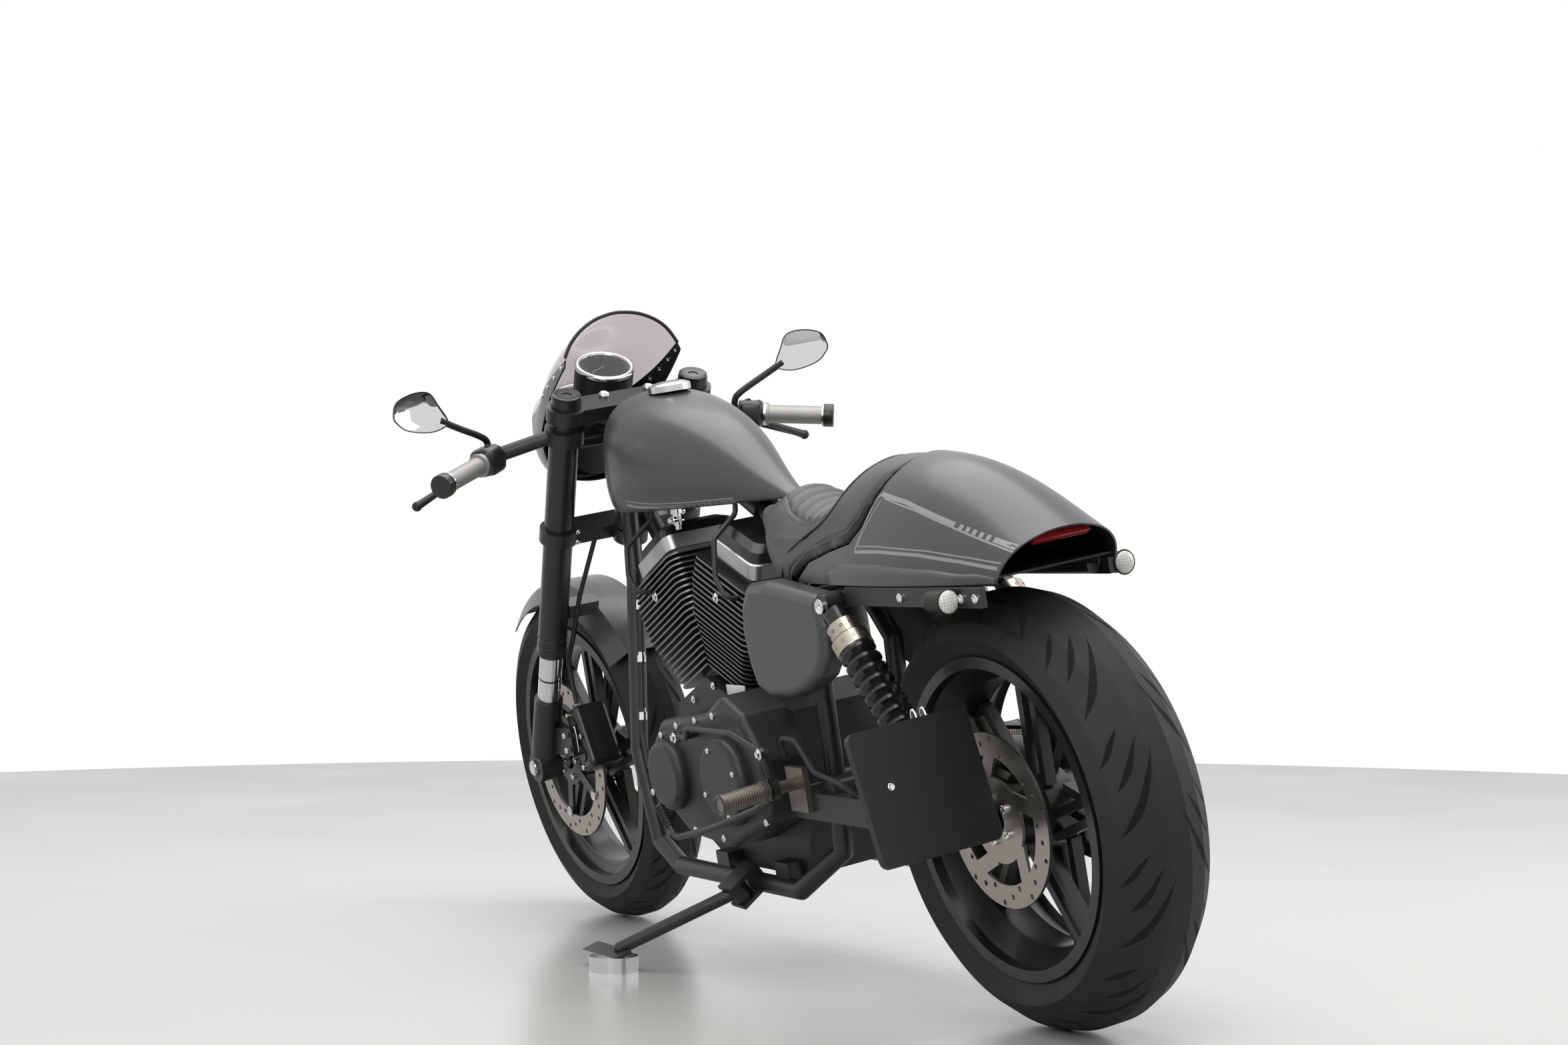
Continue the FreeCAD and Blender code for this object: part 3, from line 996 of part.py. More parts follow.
shocks = []
for side in (1, -1):
    low = V(S.shock_low_x, side * S.shock_half, S.shock_low_z)
    top = V(S.shock_top_x, side * S.shock_half, S.shock_top_z)
    line = top - low
    length = line.Length
    coil_from, coil_to = 62.0, length - 92.0
    pitch = (coil_to - coil_from) / float(S.coil_count)
    outline = [(0, 14.0), (S.damper_radius - 8, 14.0), (S.damper_radius - 8, 32.0),
               (S.damper_radius - 3, 36.0), (S.damper_radius - 3, coil_from - 10),
               (S.spring_radius, coil_from - 10), (S.spring_radius, coil_from)]
    for i in range(int(S.coil_count)):
        outline += [(S.damper_radius, coil_from + pitch * (i + 0.25)),
                    (S.spring_radius, coil_from + pitch * (i + 0.62)),
                    (S.spring_radius, coil_from + pitch * (i + 0.88))]
    outline += [(S.spring_radius + 1, coil_to + 2), (S.spring_radius + 1, coil_to + 24),
                (S.damper_radius + 4, coil_to + 26),
                (S.damper_radius + 4, coil_to + 50), (S.damper_radius - 4, coil_to + 56),
                (S.damper_radius - 4, length - 14), (0, length - 14)]
    spring = turned_body("shock_body", outline)
    place(spring, tuple(low), FreeCAD.Rotation(V(0, 1, 0), line))
    eyes = [rod("shock_eye", 19, end - V(0, 14, 0), end + V(0, 14, 0)) for end in (low, top)]
    holes = [rod("shock_hole", 9, end - V(0, 30, 0), end + V(0, 30, 0)) for end in (low, top)]
    shocks.append(cut("shock", fuse("shock_solid", [spring] + eyes), fuse("shock_holes", holes)))
node(compound("shocks", shocks), "shocks")

# Struts beside the rear wheel, with the indicators.
struts, blinkers = [], []
for side in (1, -1):
    strut_y = side * (113.7 + S.rail_radius + S.seat_gap) + side * S.strut_thick / 2
    struts.append(block("strut", (372, S.strut_thick, S.strut_high),
                        (-138, strut_y - S.strut_thick / 2, 651.7)))
    face = float(strut_y) + side * (float(S.strut_thick) / 2 + 0.3)
    stem = rod("blinker_stem", 6, (-62, face, 664), (-62, face + side * 10, 664))
    bullet = rod("blinker", S.indicator_radius, (-44, face + side * 17, 664), (-82, face + side * 17, 664))
    nose = place(doc.addObject("Part::Ellipsoid", "blinker_nose"), (-44, face + side * 17, 664),
                 turned_to((1, 0, 0)))
    for prop, value in (("Radius1", 24), ("Radius2", S.indicator_radius), ("Radius3", S.indicator_radius)):
        bind(nose, prop, value)
    blinkers.append(fuse("indicator", [stem, bullet, nose]))
node(compound("fender_struts", struts), "fender_struts")
node(compound("indicators", blinkers), "indicators")

# Side cover on the left, oil tank on the right.
cover_points = [(300, 668), (460, 690), (520, 686), (545, 655), (556, 612), (550, 556), (534, 516),
                (496, 502),
                (430, 504), (376, 517), (328, 540), (296, 573), (285, 620)]
covers = []
for side, word in ((1, "left"), (-1, "right")):
    start = S.cover_half - S.cover_depth if side == 1 else -S.cover_half
    cover = padded_body("cover_" + word, cover_points, S.cover_depth, start)
    face = float(S.cover_depth) if side == 1 else 0.0
    add_fillet(cover, "cover_corners_" + word, 12, lambda e: e.BoundBox.XLength + e.BoundBox.ZLength < 0.1)
    add_fillet(cover, "cover_round_" + word, 17, lambda e: abs(e.BoundBox.YMin - face) < 0.1
               and abs(e.BoundBox.YMax - face) < 0.1)
    covers.append(cover)
node(compound("side_covers", covers), "side_covers")

# Rear caliper on the swingarm, ahead of and above the axle.
rear_caliper = caliper_block("rear_caliper_body", (44, 50, 92), float(S.rear_disc_offset),
                             float(S.rear_disc_radius) + 8)
place(rear_caliper, (0, 0, S.rear_tyre_radius), FreeCAD.Rotation(V(0, 1, 0), -35))
rear_slot = disc_room("rear_caliper_slot", S.rear_disc_radius, S.rear_disc_offset)
node(cut("caliper_rear", rear_caliper, at_rear(rear_slot)), "caliper_rear")

# Plate holder on the left, on an arm from the swingarm; its face is bare.
plate_turn = FreeCAD.Rotation(V(0, 1, 0), float(S.plate_tilt))
plate = padded_body("plate_tray", [
    (-S.plate_thick / 2, -S.plate_high / 2), (S.plate_thick / 2, -S.plate_high / 2),
    (S.plate_thick / 2, S.plate_high / 2), (-S.plate_thick / 2,
                                            S.plate_high / 2)], S.plate_wide, -S.plate_wide / 2)
add_fillet(plate, "plate_corners", 14, lambda e: e.BoundBox.YLength + e.BoundBox.ZLength < 0.1)
place(plate, (S.plate_x, S.plate_y - S.plate_wide / 2, S.plate_z), plate_turn)
plate_arm = centred_block("plate_arm", (16, 20, 26), (-24 - S.seat_gap - 8, S.arm_half, 327))
node(fuse("plate_holder", [plate, plate_arm]), "plate_holder")

# Footpegs and foot controls.
pegs = []
for side in (1, -1):
    hanger_y = side * (S.arm_half + S.arm_wide / 2 + S.seat_gap + 5)
    mount = rod("peg_mount", 10, (S.peg_x, hanger_y, S.peg_z), (S.peg_x, side * 205, S.peg_z))
    peg = rod("peg", S.peg_radius, (S.peg_x, side * 205, S.peg_z), (S.peg_x, side * 285, S.peg_z - 4))
    collar = rod("peg_collar", S.peg_radius + 2, (S.peg_x, side * 201, S.peg_z),
                 (S.peg_x, side * 209, S.peg_z))
    cap = rod("peg_cap", S.peg_radius + 2, (S.peg_x, side * 279, S.peg_z - 4),
              (S.peg_x, side * 286, S.peg_z - 4))
    hanger = block("peg_hanger", (56, 10, 72), (S.peg_x - 26, hanger_y - 5, S.peg_z - 46))
    pegs.append(fuse("footpeg", [mount, peg, collar, cap, hanger]))
node(compound("footpegs", pegs), "footpegs")
TOE = [(10, 191, -15.5), (60, 196, -36), (150, 208, -62), (240, 212, -84), (334, 214, -100), (378, 214, -48)]
toe = swept_bar("toe_lever", 6, [V(S.peg_x + x, y, S.peg_z + z) for x, y, z in TOE], 26)
ROD = [(-48, 204, 427), (48, 208, 456), (200, 208, 456), (214, 206, 438), (246, 204, 438)]
rod_bar = swept_bar("shift_rod", 5, [V(500 + x, y, z) for x, y, z in ROD], 8)
balls = [ball("shift_ball", 9, (S.peg_x - 15 + x, 204, 427 + z)) for x, z in ((0, 0), (294, 11))]
shift_arm = rod("shift_arm", 8, (746, S.case_half + S.primary_depth + S.seat_gap, 438), (746, 206, 438))
crank = rod("shift_crank", 6, (S.peg_x - 15, 204, 427), (S.peg_x - 2, 191, S.peg_z + 14))
ring = rod("shift_ring", 18, (S.peg_x, 185, S.peg_z), (S.peg_x, 197, S.peg_z))
brake_boss = V(S.peg_x + 19, -S.arm_half - S.arm_wide / 2 - 10 - 2 * S.seat_gap, S.peg_z - 19)
brake = pipe("brake_lever", 6, [V(brake_boss.x, -212, brake_boss.z), V(640, -218, 300), V(740, -224, 290)])
brake_shaft = rod("brake_shaft", 9, brake_boss, (brake_boss.x, -224, brake_boss.z))
brake_pad = rod("brake_pad", 12, (740, -214, 290), (740, -262, 290))
peg_way = rod("peg_way", 10 + S.seat_gap, (S.peg_x, 170, S.peg_z), (S.peg_x, 204, S.peg_z))
shift = cut("shift_lever", fuse("shift_solid", [toe, rod_bar, shift_arm, crank, ring] + balls), peg_way)
node(compound("foot_controls", [shift, fuse("brake_pedal", [brake, brake_pad, brake_shaft])]),
     "foot_controls")

# Hoses and leads that the machine holds all the way, each one round bar along its route.
CORDS = {
    "plug_lead_rear": (4.5, 16, [(716, 44, 802.1), (716, 46, 786), (704, 100, 752), (690, 116, 690),
                                 (666, 116, 656),
                                 (664, 95.4, 652)]),
    "plug_lead_front": (4.5, 16, [(1000, 60, 802.1), (1000, 62, 786), (1032, 106, 742), (1018, 118, 692),
                                  (992, 118, 664), (988, 96.3, 660)]),
    "frame_hose": (5, 30, [(1128, 48, 655), (1111, 98, 400), (1092, 106, 340)]),
    "loop_hose": (4.5, 24, [(529.5, 128, 396), (506, 134, 400), (494, 150, 438), (440, 152, 438),
                            (398, 150, 388), (330, 146, 374),
                            (316, 128, 352.8)]),
}
cords = [swept_bar(name, radius, [V(*p) for p in points], bend) for name,
         (radius, bend, points) in CORDS.items()]
node(compound("cables", cords), "cables")
HOSE = [(741.3, 22, 62), (640, 18, 88), (560, 22, 94), (505, 36, 94), (450, -13, 96)]
hoses = [swept_bar("brake_hose", 4.5, [on_axis(h, u, side * y) for h, u, y in HOSE], 26) for side in (1, -1)]
node(compound("brake_hoses", hoses), "brake_hoses")
for cord in cords + hoses[:1]:
    radius, bend, length = cord_lengths[cord.Name]
    share = cord.Shape.Volume / (math.pi * radius ** 2 * length)
    print(cord.Name, "radius", radius, "bends", bend, "length", round(length, 1),
          "volume over section x length", round(share, 4))

# Side stand: knuckle on the clevis's pin, bent leg and foot, resting on a round block on the floor.
lean = math.radians(S.lean_angle)
lean_lift = float(S.rear_crown_radius) * (1 - math.cos(lean))


def upright(x, y, z):
    """The upright machine's point that comes to a given place once it leans."""
    z = z - lean_lift
    return V(x, y * math.cos(lean) - z * math.sin(lean), y * math.sin(lean) + z * math.cos(lean))


puck_top = upright(S.puck_x, S.puck_y, S.puck_height)
foot_top = upright(S.puck_x, S.puck_y, S.puck_height + S.foot_thick)
ankle_at = upright(S.puck_x - 6, S.puck_y - 8, S.puck_height + S.foot_thick + 6)
reach_line = (ankle_at - stand_pivot).normalize()
knuckle = rod("stand_knuckle", S.knuckle_radius, stand_pivot - stand_axis * (S.knuckle_height / 2),
              stand_pivot + stand_axis * (S.knuckle_height / 2))
leg = rod("stand_leg_rod", S.stand_rod, stand_pivot + reach_line * 10, ankle_at)
foot_turn = FreeCAD.Rotation(V(1, 0, 0), -float(S.lean_angle))
foot = centred_block("stand_foot", (130, 34, S.foot_thick), tuple((foot_top + puck_top) * 0.5 + V(30, 0, 0)),
                     foot_turn)
ankle = ball("stand_ankle", S.stand_rod, ankle_at)
sole = half_space(tuple(puck_top), tuple(puck_top - foot_top))
pin_bore = rod("stand_bore", S.stand_pin + S.running_gap, stand_pivot - stand_axis * 40,
               stand_pivot + stand_axis * 40)
stand_solid = cut("stand_trimmed", fuse("stand_solid", [leg, knuckle, foot, ankle]), feature("sole", sole))
node(cut("side_stand", stand_solid, pin_bore), "side_stand")
puck = rod("stand_puck", S.puck_radius, tuple(upright(S.puck_x, S.puck_y, 0)), tuple(puck_top))
node(puck, "stand_puck")

doc.recompute()

# Lean the machine about the line under its wheels, then set it on the middle of its own footprint.
leaned = FreeCAD.Placement(V(0, 0, lean_lift), FreeCAD.Rotation(V(1, 0, 0), -float(S.lean_angle)))
everything = Part.makeCompound([item.Shape.copy() for item in NODES])
everything.Placement = leaned
box = everything.optimalBoundingBox(False)
centring = FreeCAD.Placement(V(-(box.XMin + box.XMax) / 2, -(box.YMin + box.YMax) / 2, -box.ZMin),
                             FreeCAD.Rotation())
park = centring.multiply(leaned)
for item in NODES:
    stood = park.multiply(item.Placement)
    for letter in "xyz":
        item.setExpression("Placement.Base.%s" % letter, None)
    item.Placement = stood
doc.recompute()

for item in doc.Objects:
    for word in ("Invalid", "Error"):
        if word in item.State:
            raise SystemExit("%s is %s" % (item.Label, item.State))
for item in NODES:
    if item.Shape.isNull() or not item.Shape.isValid():
        raise SystemExit("%s has no valid shape" % item.Label)
    item.Shape.exportStep("parts/%s.step" % item.Label)
print("shift", [round(n, 3) for n in park.Base], "solids", sum(len(n.Shape.Solids) for n in NODES),
      "nodes", len(NODES))
print("box", box)
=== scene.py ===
# %% [markdown]
# # A cafe racer motorcycle, parked on its side stand
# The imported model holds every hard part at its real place. This lesson dresses it: each cell makes one
# piece or one finish, and says why it is made that way. Blender works in metres; places on the machine
# are written in millimetres, as a drawing gives them, and `MM` turns them.

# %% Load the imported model
import math

import bmesh
import bpy
from mathutils import Matrix, Vector
from mathutils.bvhtree import BVHTree


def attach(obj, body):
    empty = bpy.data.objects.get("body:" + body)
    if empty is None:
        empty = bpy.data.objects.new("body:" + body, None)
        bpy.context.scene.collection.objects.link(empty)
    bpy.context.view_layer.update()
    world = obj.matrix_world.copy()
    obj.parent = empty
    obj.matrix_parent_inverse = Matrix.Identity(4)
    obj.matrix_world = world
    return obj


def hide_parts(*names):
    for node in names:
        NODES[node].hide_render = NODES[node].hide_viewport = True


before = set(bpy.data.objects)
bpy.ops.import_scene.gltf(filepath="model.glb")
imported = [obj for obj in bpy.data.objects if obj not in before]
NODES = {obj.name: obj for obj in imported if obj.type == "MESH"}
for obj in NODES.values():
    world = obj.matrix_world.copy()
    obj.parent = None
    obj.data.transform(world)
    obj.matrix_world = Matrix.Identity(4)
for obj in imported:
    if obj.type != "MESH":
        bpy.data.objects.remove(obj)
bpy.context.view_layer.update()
MM = 0.001
print("nodes loaded:", len(NODES))

# %% [markdown]
# A motorcycle is easiest to model upright, with X forward, Y to the rider's left and the rear axle over
# X = 0. The real one stands leaning, so one matrix carries each finished mesh from the upright machine
# to its parked place. Nothing is turned by hand after that.

# %% From the upright machine to the parked one
LEAN = math.radians(10.6)
PARKED = Matrix.Translation((-0.751623, -0.19039, 0.001638)) @ Matrix.Rotation(-LEAN, 4, "X")
BACK_UPRIGHT = PARKED.inverted()


def spot(x, y, z):
    """A place on the upright machine, in millimetres."""
    return Vector((x, y, z)) * MM


REAR_RADIUS, FRONT_RADIUS, WHEELBASE = 327.6, 325.3, 1505
CRANK_X, CRANK_Z = 850, 375
LEG_AHEAD, LEG_LEFT = 40, 128
SHOCK_TOP, SHOCK_FOOT = (260, 656), (15, 372)
REAR_AXLE = spot(0, 0, REAR_RADIUS)
FRONT_AXLE = spot(WHEELBASE, 0, FRONT_RADIUS)
FORK_FOOT = spot(1645, 0, 0)
FORK_UP = Vector((-0.4833, 0, 0.8755))
FORK_AHEAD = Vector((0.8755, 0, 0.4833))
LEFT = Vector((0, 1, 0))
UP = Vector((0, 0, 1))
SIDES = ((1, "left"), (-1, "right"))
QUARTER_TURN = math.radians(90)
CYLINDER_LEAN = math.radians(22.5)


def circle(count, start=0.0):
    """Evenly spread angles of one full turn."""
    return [2 * math.pi * (i + start) / count for i in range(count)]


def ramp(value, low, high):
    """0 below the low value, 1 above the high one, and straight between them."""
    return min(1, max(0, (value - low) / (high - low)))


def on_fork(height, ahead, left):
    """A place beside the steering axis, at the height where the axis passes."""
    return FORK_FOOT + FORK_UP * (height * MM / FORK_UP.z) + FORK_AHEAD * (ahead * MM) + LEFT * (left * MM)


def on_bank(lean, along, ahead=0.0, left=0.0):
    """A place along a cylinder's axis; lean is 1 for the front one and -1 for the rear one."""
    angle = CYLINDER_LEAN * lean
    up = Vector((math.sin(angle), 0, math.cos(angle)))
    forward = Vector((math.cos(angle), 0, -math.sin(angle)))
    return spot(CRANK_X, left, CRANK_Z) + up * (along * MM) + forward * (ahead * MM)


def at_shock(end, left):
    """A place beside one end of a shock."""
    return spot(end[0], left, end[1])


def facing(axis):
    """The turn that points a shape's own Z along an axis."""
    return Vector(axis).to_track_quat("Z", "Y").to_euler()


# %% [markdown]
# Small helpers finish what the operators start. `take` selects one piece alone, because an operator acts
# on everything selected. `modify` adds a modifier and applies it. `stepped` insets the faces that look
# one way and raises or sinks them in steps. `put` bakes a finished piece into its parked place and lets
# it ride on its body. `strew` copies one model, such as a bolt, to many places.

# %% Helpers for every piece
def deselect():
    bpy.ops.object.select_all(action="DESELECT")


def take(piece):
    deselect()
    piece.select_set(True)
    bpy.context.view_layer.objects.active = piece


def as_mesh(piece):
    """Turn a curve, or a mesh with live modifiers, into a plain mesh."""
    take(piece)
    bpy.ops.object.convert(target="MESH")
    return bpy.context.object


def modify(piece, kind, **settings):
    made = piece.modifiers.new(kind, kind)
    for key, value in settings.items():
        setattr(made, key, value)
    take(piece)
    bpy.ops.object.modifier_apply(modifier=kind)
    return piece


def stepped(piece, steps, last=None, towards=UP):
    """Steps are pairs of inset and rise; the last pair, if any, is extruded instead of moved."""
    take(piece)
    bpy.ops.object.mode_set(mode="EDIT")
    mesh = bmesh.from_edit_mesh(piece.data)
    mesh.select_mode = {"FACE"}
    for face in mesh.faces:
        face.select_set(face.normal.dot(towards) > 0.9)
    mesh.select_flush_mode()
    bmesh.update_edit_mesh(piece.data)
    for inset, rise in steps:
        bpy.ops.mesh.inset(thickness=inset)
        bpy.ops.transform.translate(value=tuple(towards * rise))
    if last:
        bpy.ops.mesh.inset(thickness=last[0])
        bpy.ops.mesh.extrude_region_move(TRANSFORM_OT_translate={"value": tuple(towards * last[1])})
    bpy.ops.object.mode_set(mode="OBJECT")
    return piece


def put(piece, name, body, slot, material, replaces=(), smooth=35):
    piece = as_mesh(piece)
    piece.data.transform(PARKED @ piece.matrix_world)
    piece.matrix_world = Matrix()
    piece.name = piece.data.name = name
    if material is not None:
        piece.data.materials.clear()
        piece.data.materials.append(material)
    if smooth:
        bpy.ops.object.shade_smooth_by_angle(angle=math.radians(smooth))
    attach(piece, body)
    if replaces:
        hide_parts(*replaces)
    print(name, "on", body, "with", len(piece.data.polygons), "faces")
    return piece


def keep_model(piece):
    """Keep a model's mesh, with its place baked in, and remove its object."""
    piece = as_mesh(piece)
    mesh = piece.data
    mesh.transform(piece.matrix_world)
    bpy.data.objects.remove(piece)
    return mesh


def new_piece(data, name):
    piece = bpy.data.objects.new(name, data)
    bpy.context.scene.collection.objects.link(piece)
    return piece


def piece_from(shape, name):
    """Make an object of a bmesh, which is then freed."""
    mesh = bpy.data.meshes.new(name)
    shape.to_mesh(mesh)
    shape.free()
    return new_piece(mesh, name)


def strew(name, model, spots, body, slot, material, smooth=35):
    """Spots are place, direction, radius and height, the last two in millimetres."""
    joined = bmesh.new()
    for at, axis, radius, height in spots:
        copy = model.copy()
        turn = Vector(axis).normalized().to_track_quat("Z", "Y").to_matrix().to_4x4()
        size = Matrix.Diagonal((radius * MM, radius * MM, height * MM, 1))
        copy.transform(Matrix.Translation(at) @ turn @ size)
        joined.from_mesh(copy)
        bpy.data.meshes.remove(copy)
    return put(piece_from(joined, name), name, body, slot, material, smooth=smooth)


def join(pieces):
    deselect()
    for piece in pieces:
        piece.select_set(True)
    bpy.context.view_layer.objects.active = pieces[0]
    bpy.ops.object.join()
    return bpy.context.object


def cylinder(at, axis, radius, height, sides=32):
    """A cylinder that starts at a place and runs along an axis; sizes in millimetres."""
    axis = Vector(axis).normalized()
    deselect()
    bpy.ops.mesh.primitive_cylinder_add(vertices=sides, radius=radius * MM, depth=height * MM,
                                        location=at + axis * (height * MM / 2), rotation=facing(axis))
    return bpy.context.object


def box(at, size, turn=(0, 0, 0)):
    """A box round a place; sizes in metres."""
    deselect()
    bpy.ops.mesh.primitive_cube_add(size=1, location=at, rotation=turn, scale=size)
    return bpy.context.object


def torus(at, turn, radius, thick, sides=40, rounds=8):
    """A ring that lies flat before its turn; radii in millimetres."""
    deselect()
    bpy.ops.mesh.primitive_torus_add(major_segments=sides, minor_segments=rounds, major_radius=radius * MM,
                                     minor_radius=thick * MM, location=at, rotation=turn)
    return bpy.context.object


def ball_slice(radius, sides, rings, cut):
    """The top of a ball, cut off level at a height and closed."""
    deselect()
    bpy.ops.mesh.primitive_uv_sphere_add(segments=sides, ring_count=rings, radius=radius, location=(0, 0, 0))
    bpy.ops.object.mode_set(mode="EDIT")
    bpy.ops.mesh.select_all(action="SELECT")
    bpy.ops.mesh.bisect(plane_co=(0, 0, cut), plane_no=(0, 0, 1), clear_inner=True, use_fill=True)
    bpy.ops.object.mode_set(mode="OBJECT")
    return bpy.context.object


def tube(points, radius, cyclic=False):
    """A round bar along a smooth line through chosen places; radius in millimetres."""
    line = bpy.data.curves.new("tube", "CURVE")
    line.dimensions = "3D"
    line.bevel_depth, line.bevel_resolution, line.use_fill_caps = radius * MM, 3, True
    run = line.splines.new("NURBS")
    run.points.add(len(points) - 1)
    for point, at in zip(run.points, points):
        point.co = (*at, 1)
    run.order_u, run.use_endpoint_u, run.use_cyclic_u, run.resolution_u = 3, not cyclic, cyclic, 6
    return new_piece(line, "tube")


def skin_of(piece):
    """A parked piece's surface on the upright machine, ready for rays."""
    mesh = piece.data
    return BVHTree.FromPolygons([BACK_UPRIGHT @ v.co for v in mesh.vertices],
                                [p.vertices[:] for p in mesh.polygons])


def side_hit(skin, x, z, side):
    """Where a level ray from one side meets a skin, and the normal there."""
    return skin.ray_cast(spot(x, 300 * side, z), -LEFT * side)[:2]


def merged_copy(node, name):
    """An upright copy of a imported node, with its loose triangles merged."""
    mesh = NODES[node].data.copy()
    mesh.transform(BACK_UPRIGHT)
    shape = bmesh.new()
    shape.from_mesh(mesh)
    bmesh.ops.remove_doubles(shape, verts=shape.verts, dist=0.00002)
    shape.to_mesh(mesh)
    shape.free()
    return new_piece(mesh, name)

# %% [markdown]
# Real finishes are never one flat colour. Most of this machine's surfaces share one effect: a slight
# cloudiness in colour and gloss, with a fine grain standing up from the surface. It is built once as a
# node group and placed in each material with its own numbers.

# %% The shared grain effect
def new_group(name, inputs, outputs):
    group = bpy.data.node_groups.new(name, "ShaderNodeTree")
    for title, kind, value in inputs:
        socket = group.interface.new_socket(title, in_out="INPUT", socket_type="NodeSocket" + kind)
        if value is not None:
            socket.default_value = value
    for title, kind in outputs:
        group.interface.new_socket(title, in_out="OUTPUT", socket_type="NodeSocket" + kind)
    return group, group.nodes.new("NodeGroupInput"), group.nodes.new("NodeGroupOutput")


def node_of(tree, kind, links=(), **values):
    """Add a node, set its plain properties or input values, and link its inputs."""
    made = tree.nodes.new(kind)
    for key, value in values.items():
        if hasattr(made, key):
            setattr(made, key, value)
        else:
            made.inputs[key.replace("_", " ")].default_value = value
    for title, source in links:
        tree.links.new(source, made.inputs[title])
    return made


def maths(tree, work, first, second=None, third=None):
    """One step of arithmetic: each value is a socket or a plain number."""
    made = tree.nodes.new("ShaderNodeMath")
    made.operation = work
    for place, value in enumerate((first, second, third)):
        if isinstance(value, (int, float)):
            made.inputs[place].default_value = value
        elif value is not None:
            tree.links.new(value, made.inputs[place])
    return made.outputs[0]


grain_group, grain_in, grain_out = new_group(
    "surface grain",
    [("Vector", "Vector", None), ("Colour", "Color", (0.5, 0.5, 0.5, 1)), ("Colour Spread", "Float", 0.1),
     ("Roughness", "Float", 0.5), ("Roughness Spread", "Float", 0.1), ("Cloud Scale", "Float", 8.0),
     ("Grain Scale", "Float", 900.0)],
    [("Colour", "Color"), ("Roughness", "Float"), ("Height", "Float")])
clouds, grains = [
    node_of(grain_group, "ShaderNodeTexNoise", [("Vector", grain_in.outputs["Vector"]),
                                                ("Scale", grain_in.outputs[scale])], Detail=detail)
    for scale, detail in (("Cloud Scale", 5.0), ("Grain Scale", 2.0))]
centred = maths(grain_group, "SUBTRACT", clouds.outputs["Fac"], 0.5)
gain = maths(grain_group, "MULTIPLY_ADD", centred, grain_in.outputs["Colour Spread"], 1.0)
tinted = node_of(grain_group, "ShaderNodeVectorMath", [(0, grain_in.outputs["Colour"])], operation="SCALE")
grain_group.links.new(gain, tinted.inputs["Scale"])
rough_step = maths(grain_group, "MULTIPLY_ADD", centred, grain_in.outputs["Roughness Spread"],
                   grain_in.outputs["Roughness"])
results = {"Colour": tinted.outputs[0], "Roughness": rough_step, "Height": grains.outputs["Fac"]}
for title, result in results.items():
    grain_group.links.new(result, grain_out.inputs[title])

# %% [markdown]
# A coat is a set of numbers: colour, gloss, metal, and how cloudy and grainy it is. `finish` makes a
# material of one coat. `two_coats` splits a material between two by a mask that is worked out from the
# place on the machine, because many castings are painted in one part and machined bare in another.

# %% Materials from coats
def coat(colour, rough, metal=0.0, spread=0.25, rough_spread=0.15, clouds=9.0, grain=900.0):
    return {"Colour": (*colour, 1), "Roughness": rough, "Colour Spread": spread, "Cloud Scale": clouds,
            "Roughness Spread": rough_spread, "Grain Scale": grain, "Metal": metal}


def coat_node(tree, place, numbers):
    effect = tree.nodes.new("ShaderNodeGroup")
    effect.node_tree = grain_group
    tree.links.new(place.outputs["Object"], effect.inputs["Vector"])
    for title, value in numbers.items():
        if title != "Metal":
            effect.inputs[title].default_value = value
    return effect


def blank_material(name, **values):
    """A new material whose shader inputs take plain values, such as Coat_Weight."""
    material = bpy.data.materials.new(name)
    material.use_nodes = True
    tree = material.node_tree
    shader = tree.nodes["Principled BSDF"]
    for key, value in values.items():
        shader.inputs[key.replace("_", " ")].default_value = value
    return material, tree, shader, tree.nodes.new("ShaderNodeTexCoord")


def relief_on(tree, shader, height, strength, depth):
    bump = node_of(tree, "ShaderNodeBump", [("Height", height)], Strength=strength, Distance=depth)
    tree.links.new(bump.outputs["Normal"], shader.inputs["Normal"])


def finish(name, numbers, bump=0.05, depth=0.0004, clear=0.0, specular=0.5):
    material, tree, shader, place = blank_material(name, Metallic=numbers["Metal"], Coat_Weight=clear,
                                                   Coat_Roughness=0.08, Specular_IOR_Level=specular)
    effect = coat_node(tree, place, numbers)
    tree.links.new(effect.outputs["Colour"], shader.inputs["Base Color"])
    tree.links.new(effect.outputs["Roughness"], shader.inputs["Roughness"])
    relief_on(tree, shader, effect.outputs["Height"], bump, depth)
    return material


def mixed(tree, kind, mask, first, second):
    mix = tree.nodes.new("ShaderNodeMix")
    mix.data_type = kind
    live = [socket for socket in mix.inputs if socket.enabled]
    for socket, value in zip([s for s in live if s.name in ("A", "B")], (first, second)):
        if isinstance(value, (int, float)):
            socket.default_value = value
        else:
            tree.links.new(value, socket)
    tree.links.new(mask, [s for s in live if s.name == "Factor"][0])
    return [s for s in mix.outputs if s.enabled][0]


def two_coats(tree, shader, place, mask, first, second):
    """Colour and gloss go from the first coat to the second with the mask."""
    one, two = coat_node(tree, place, first), coat_node(tree, place, second)
    for kind, title, target in (("RGBA", "Colour", "Base Color"), ("FLOAT", "Roughness", "Roughness")):
        tree.links.new(mixed(tree, kind, mask, one.outputs[title], two.outputs[title]), shader.inputs[target])
    return one


def zoned(name, first, second, mask_of, bump=0.05, depth=0.0004):
    """A material that is the first coat where the mask is 0 and the second where it is 1."""
    material, tree, shader, place = blank_material(name, Metallic=first["Metal"])
    mask = mask_of(tree, place)
    one = two_coats(tree, shader, place, mask, first, second)
    if first["Metal"] != second["Metal"]:
        tree.links.new(mixed(tree, "FLOAT", mask, first["Metal"], second["Metal"]), shader.inputs["Metallic"])
    relief_on(tree, shader, one.outputs["Height"], bump, depth)
    return material


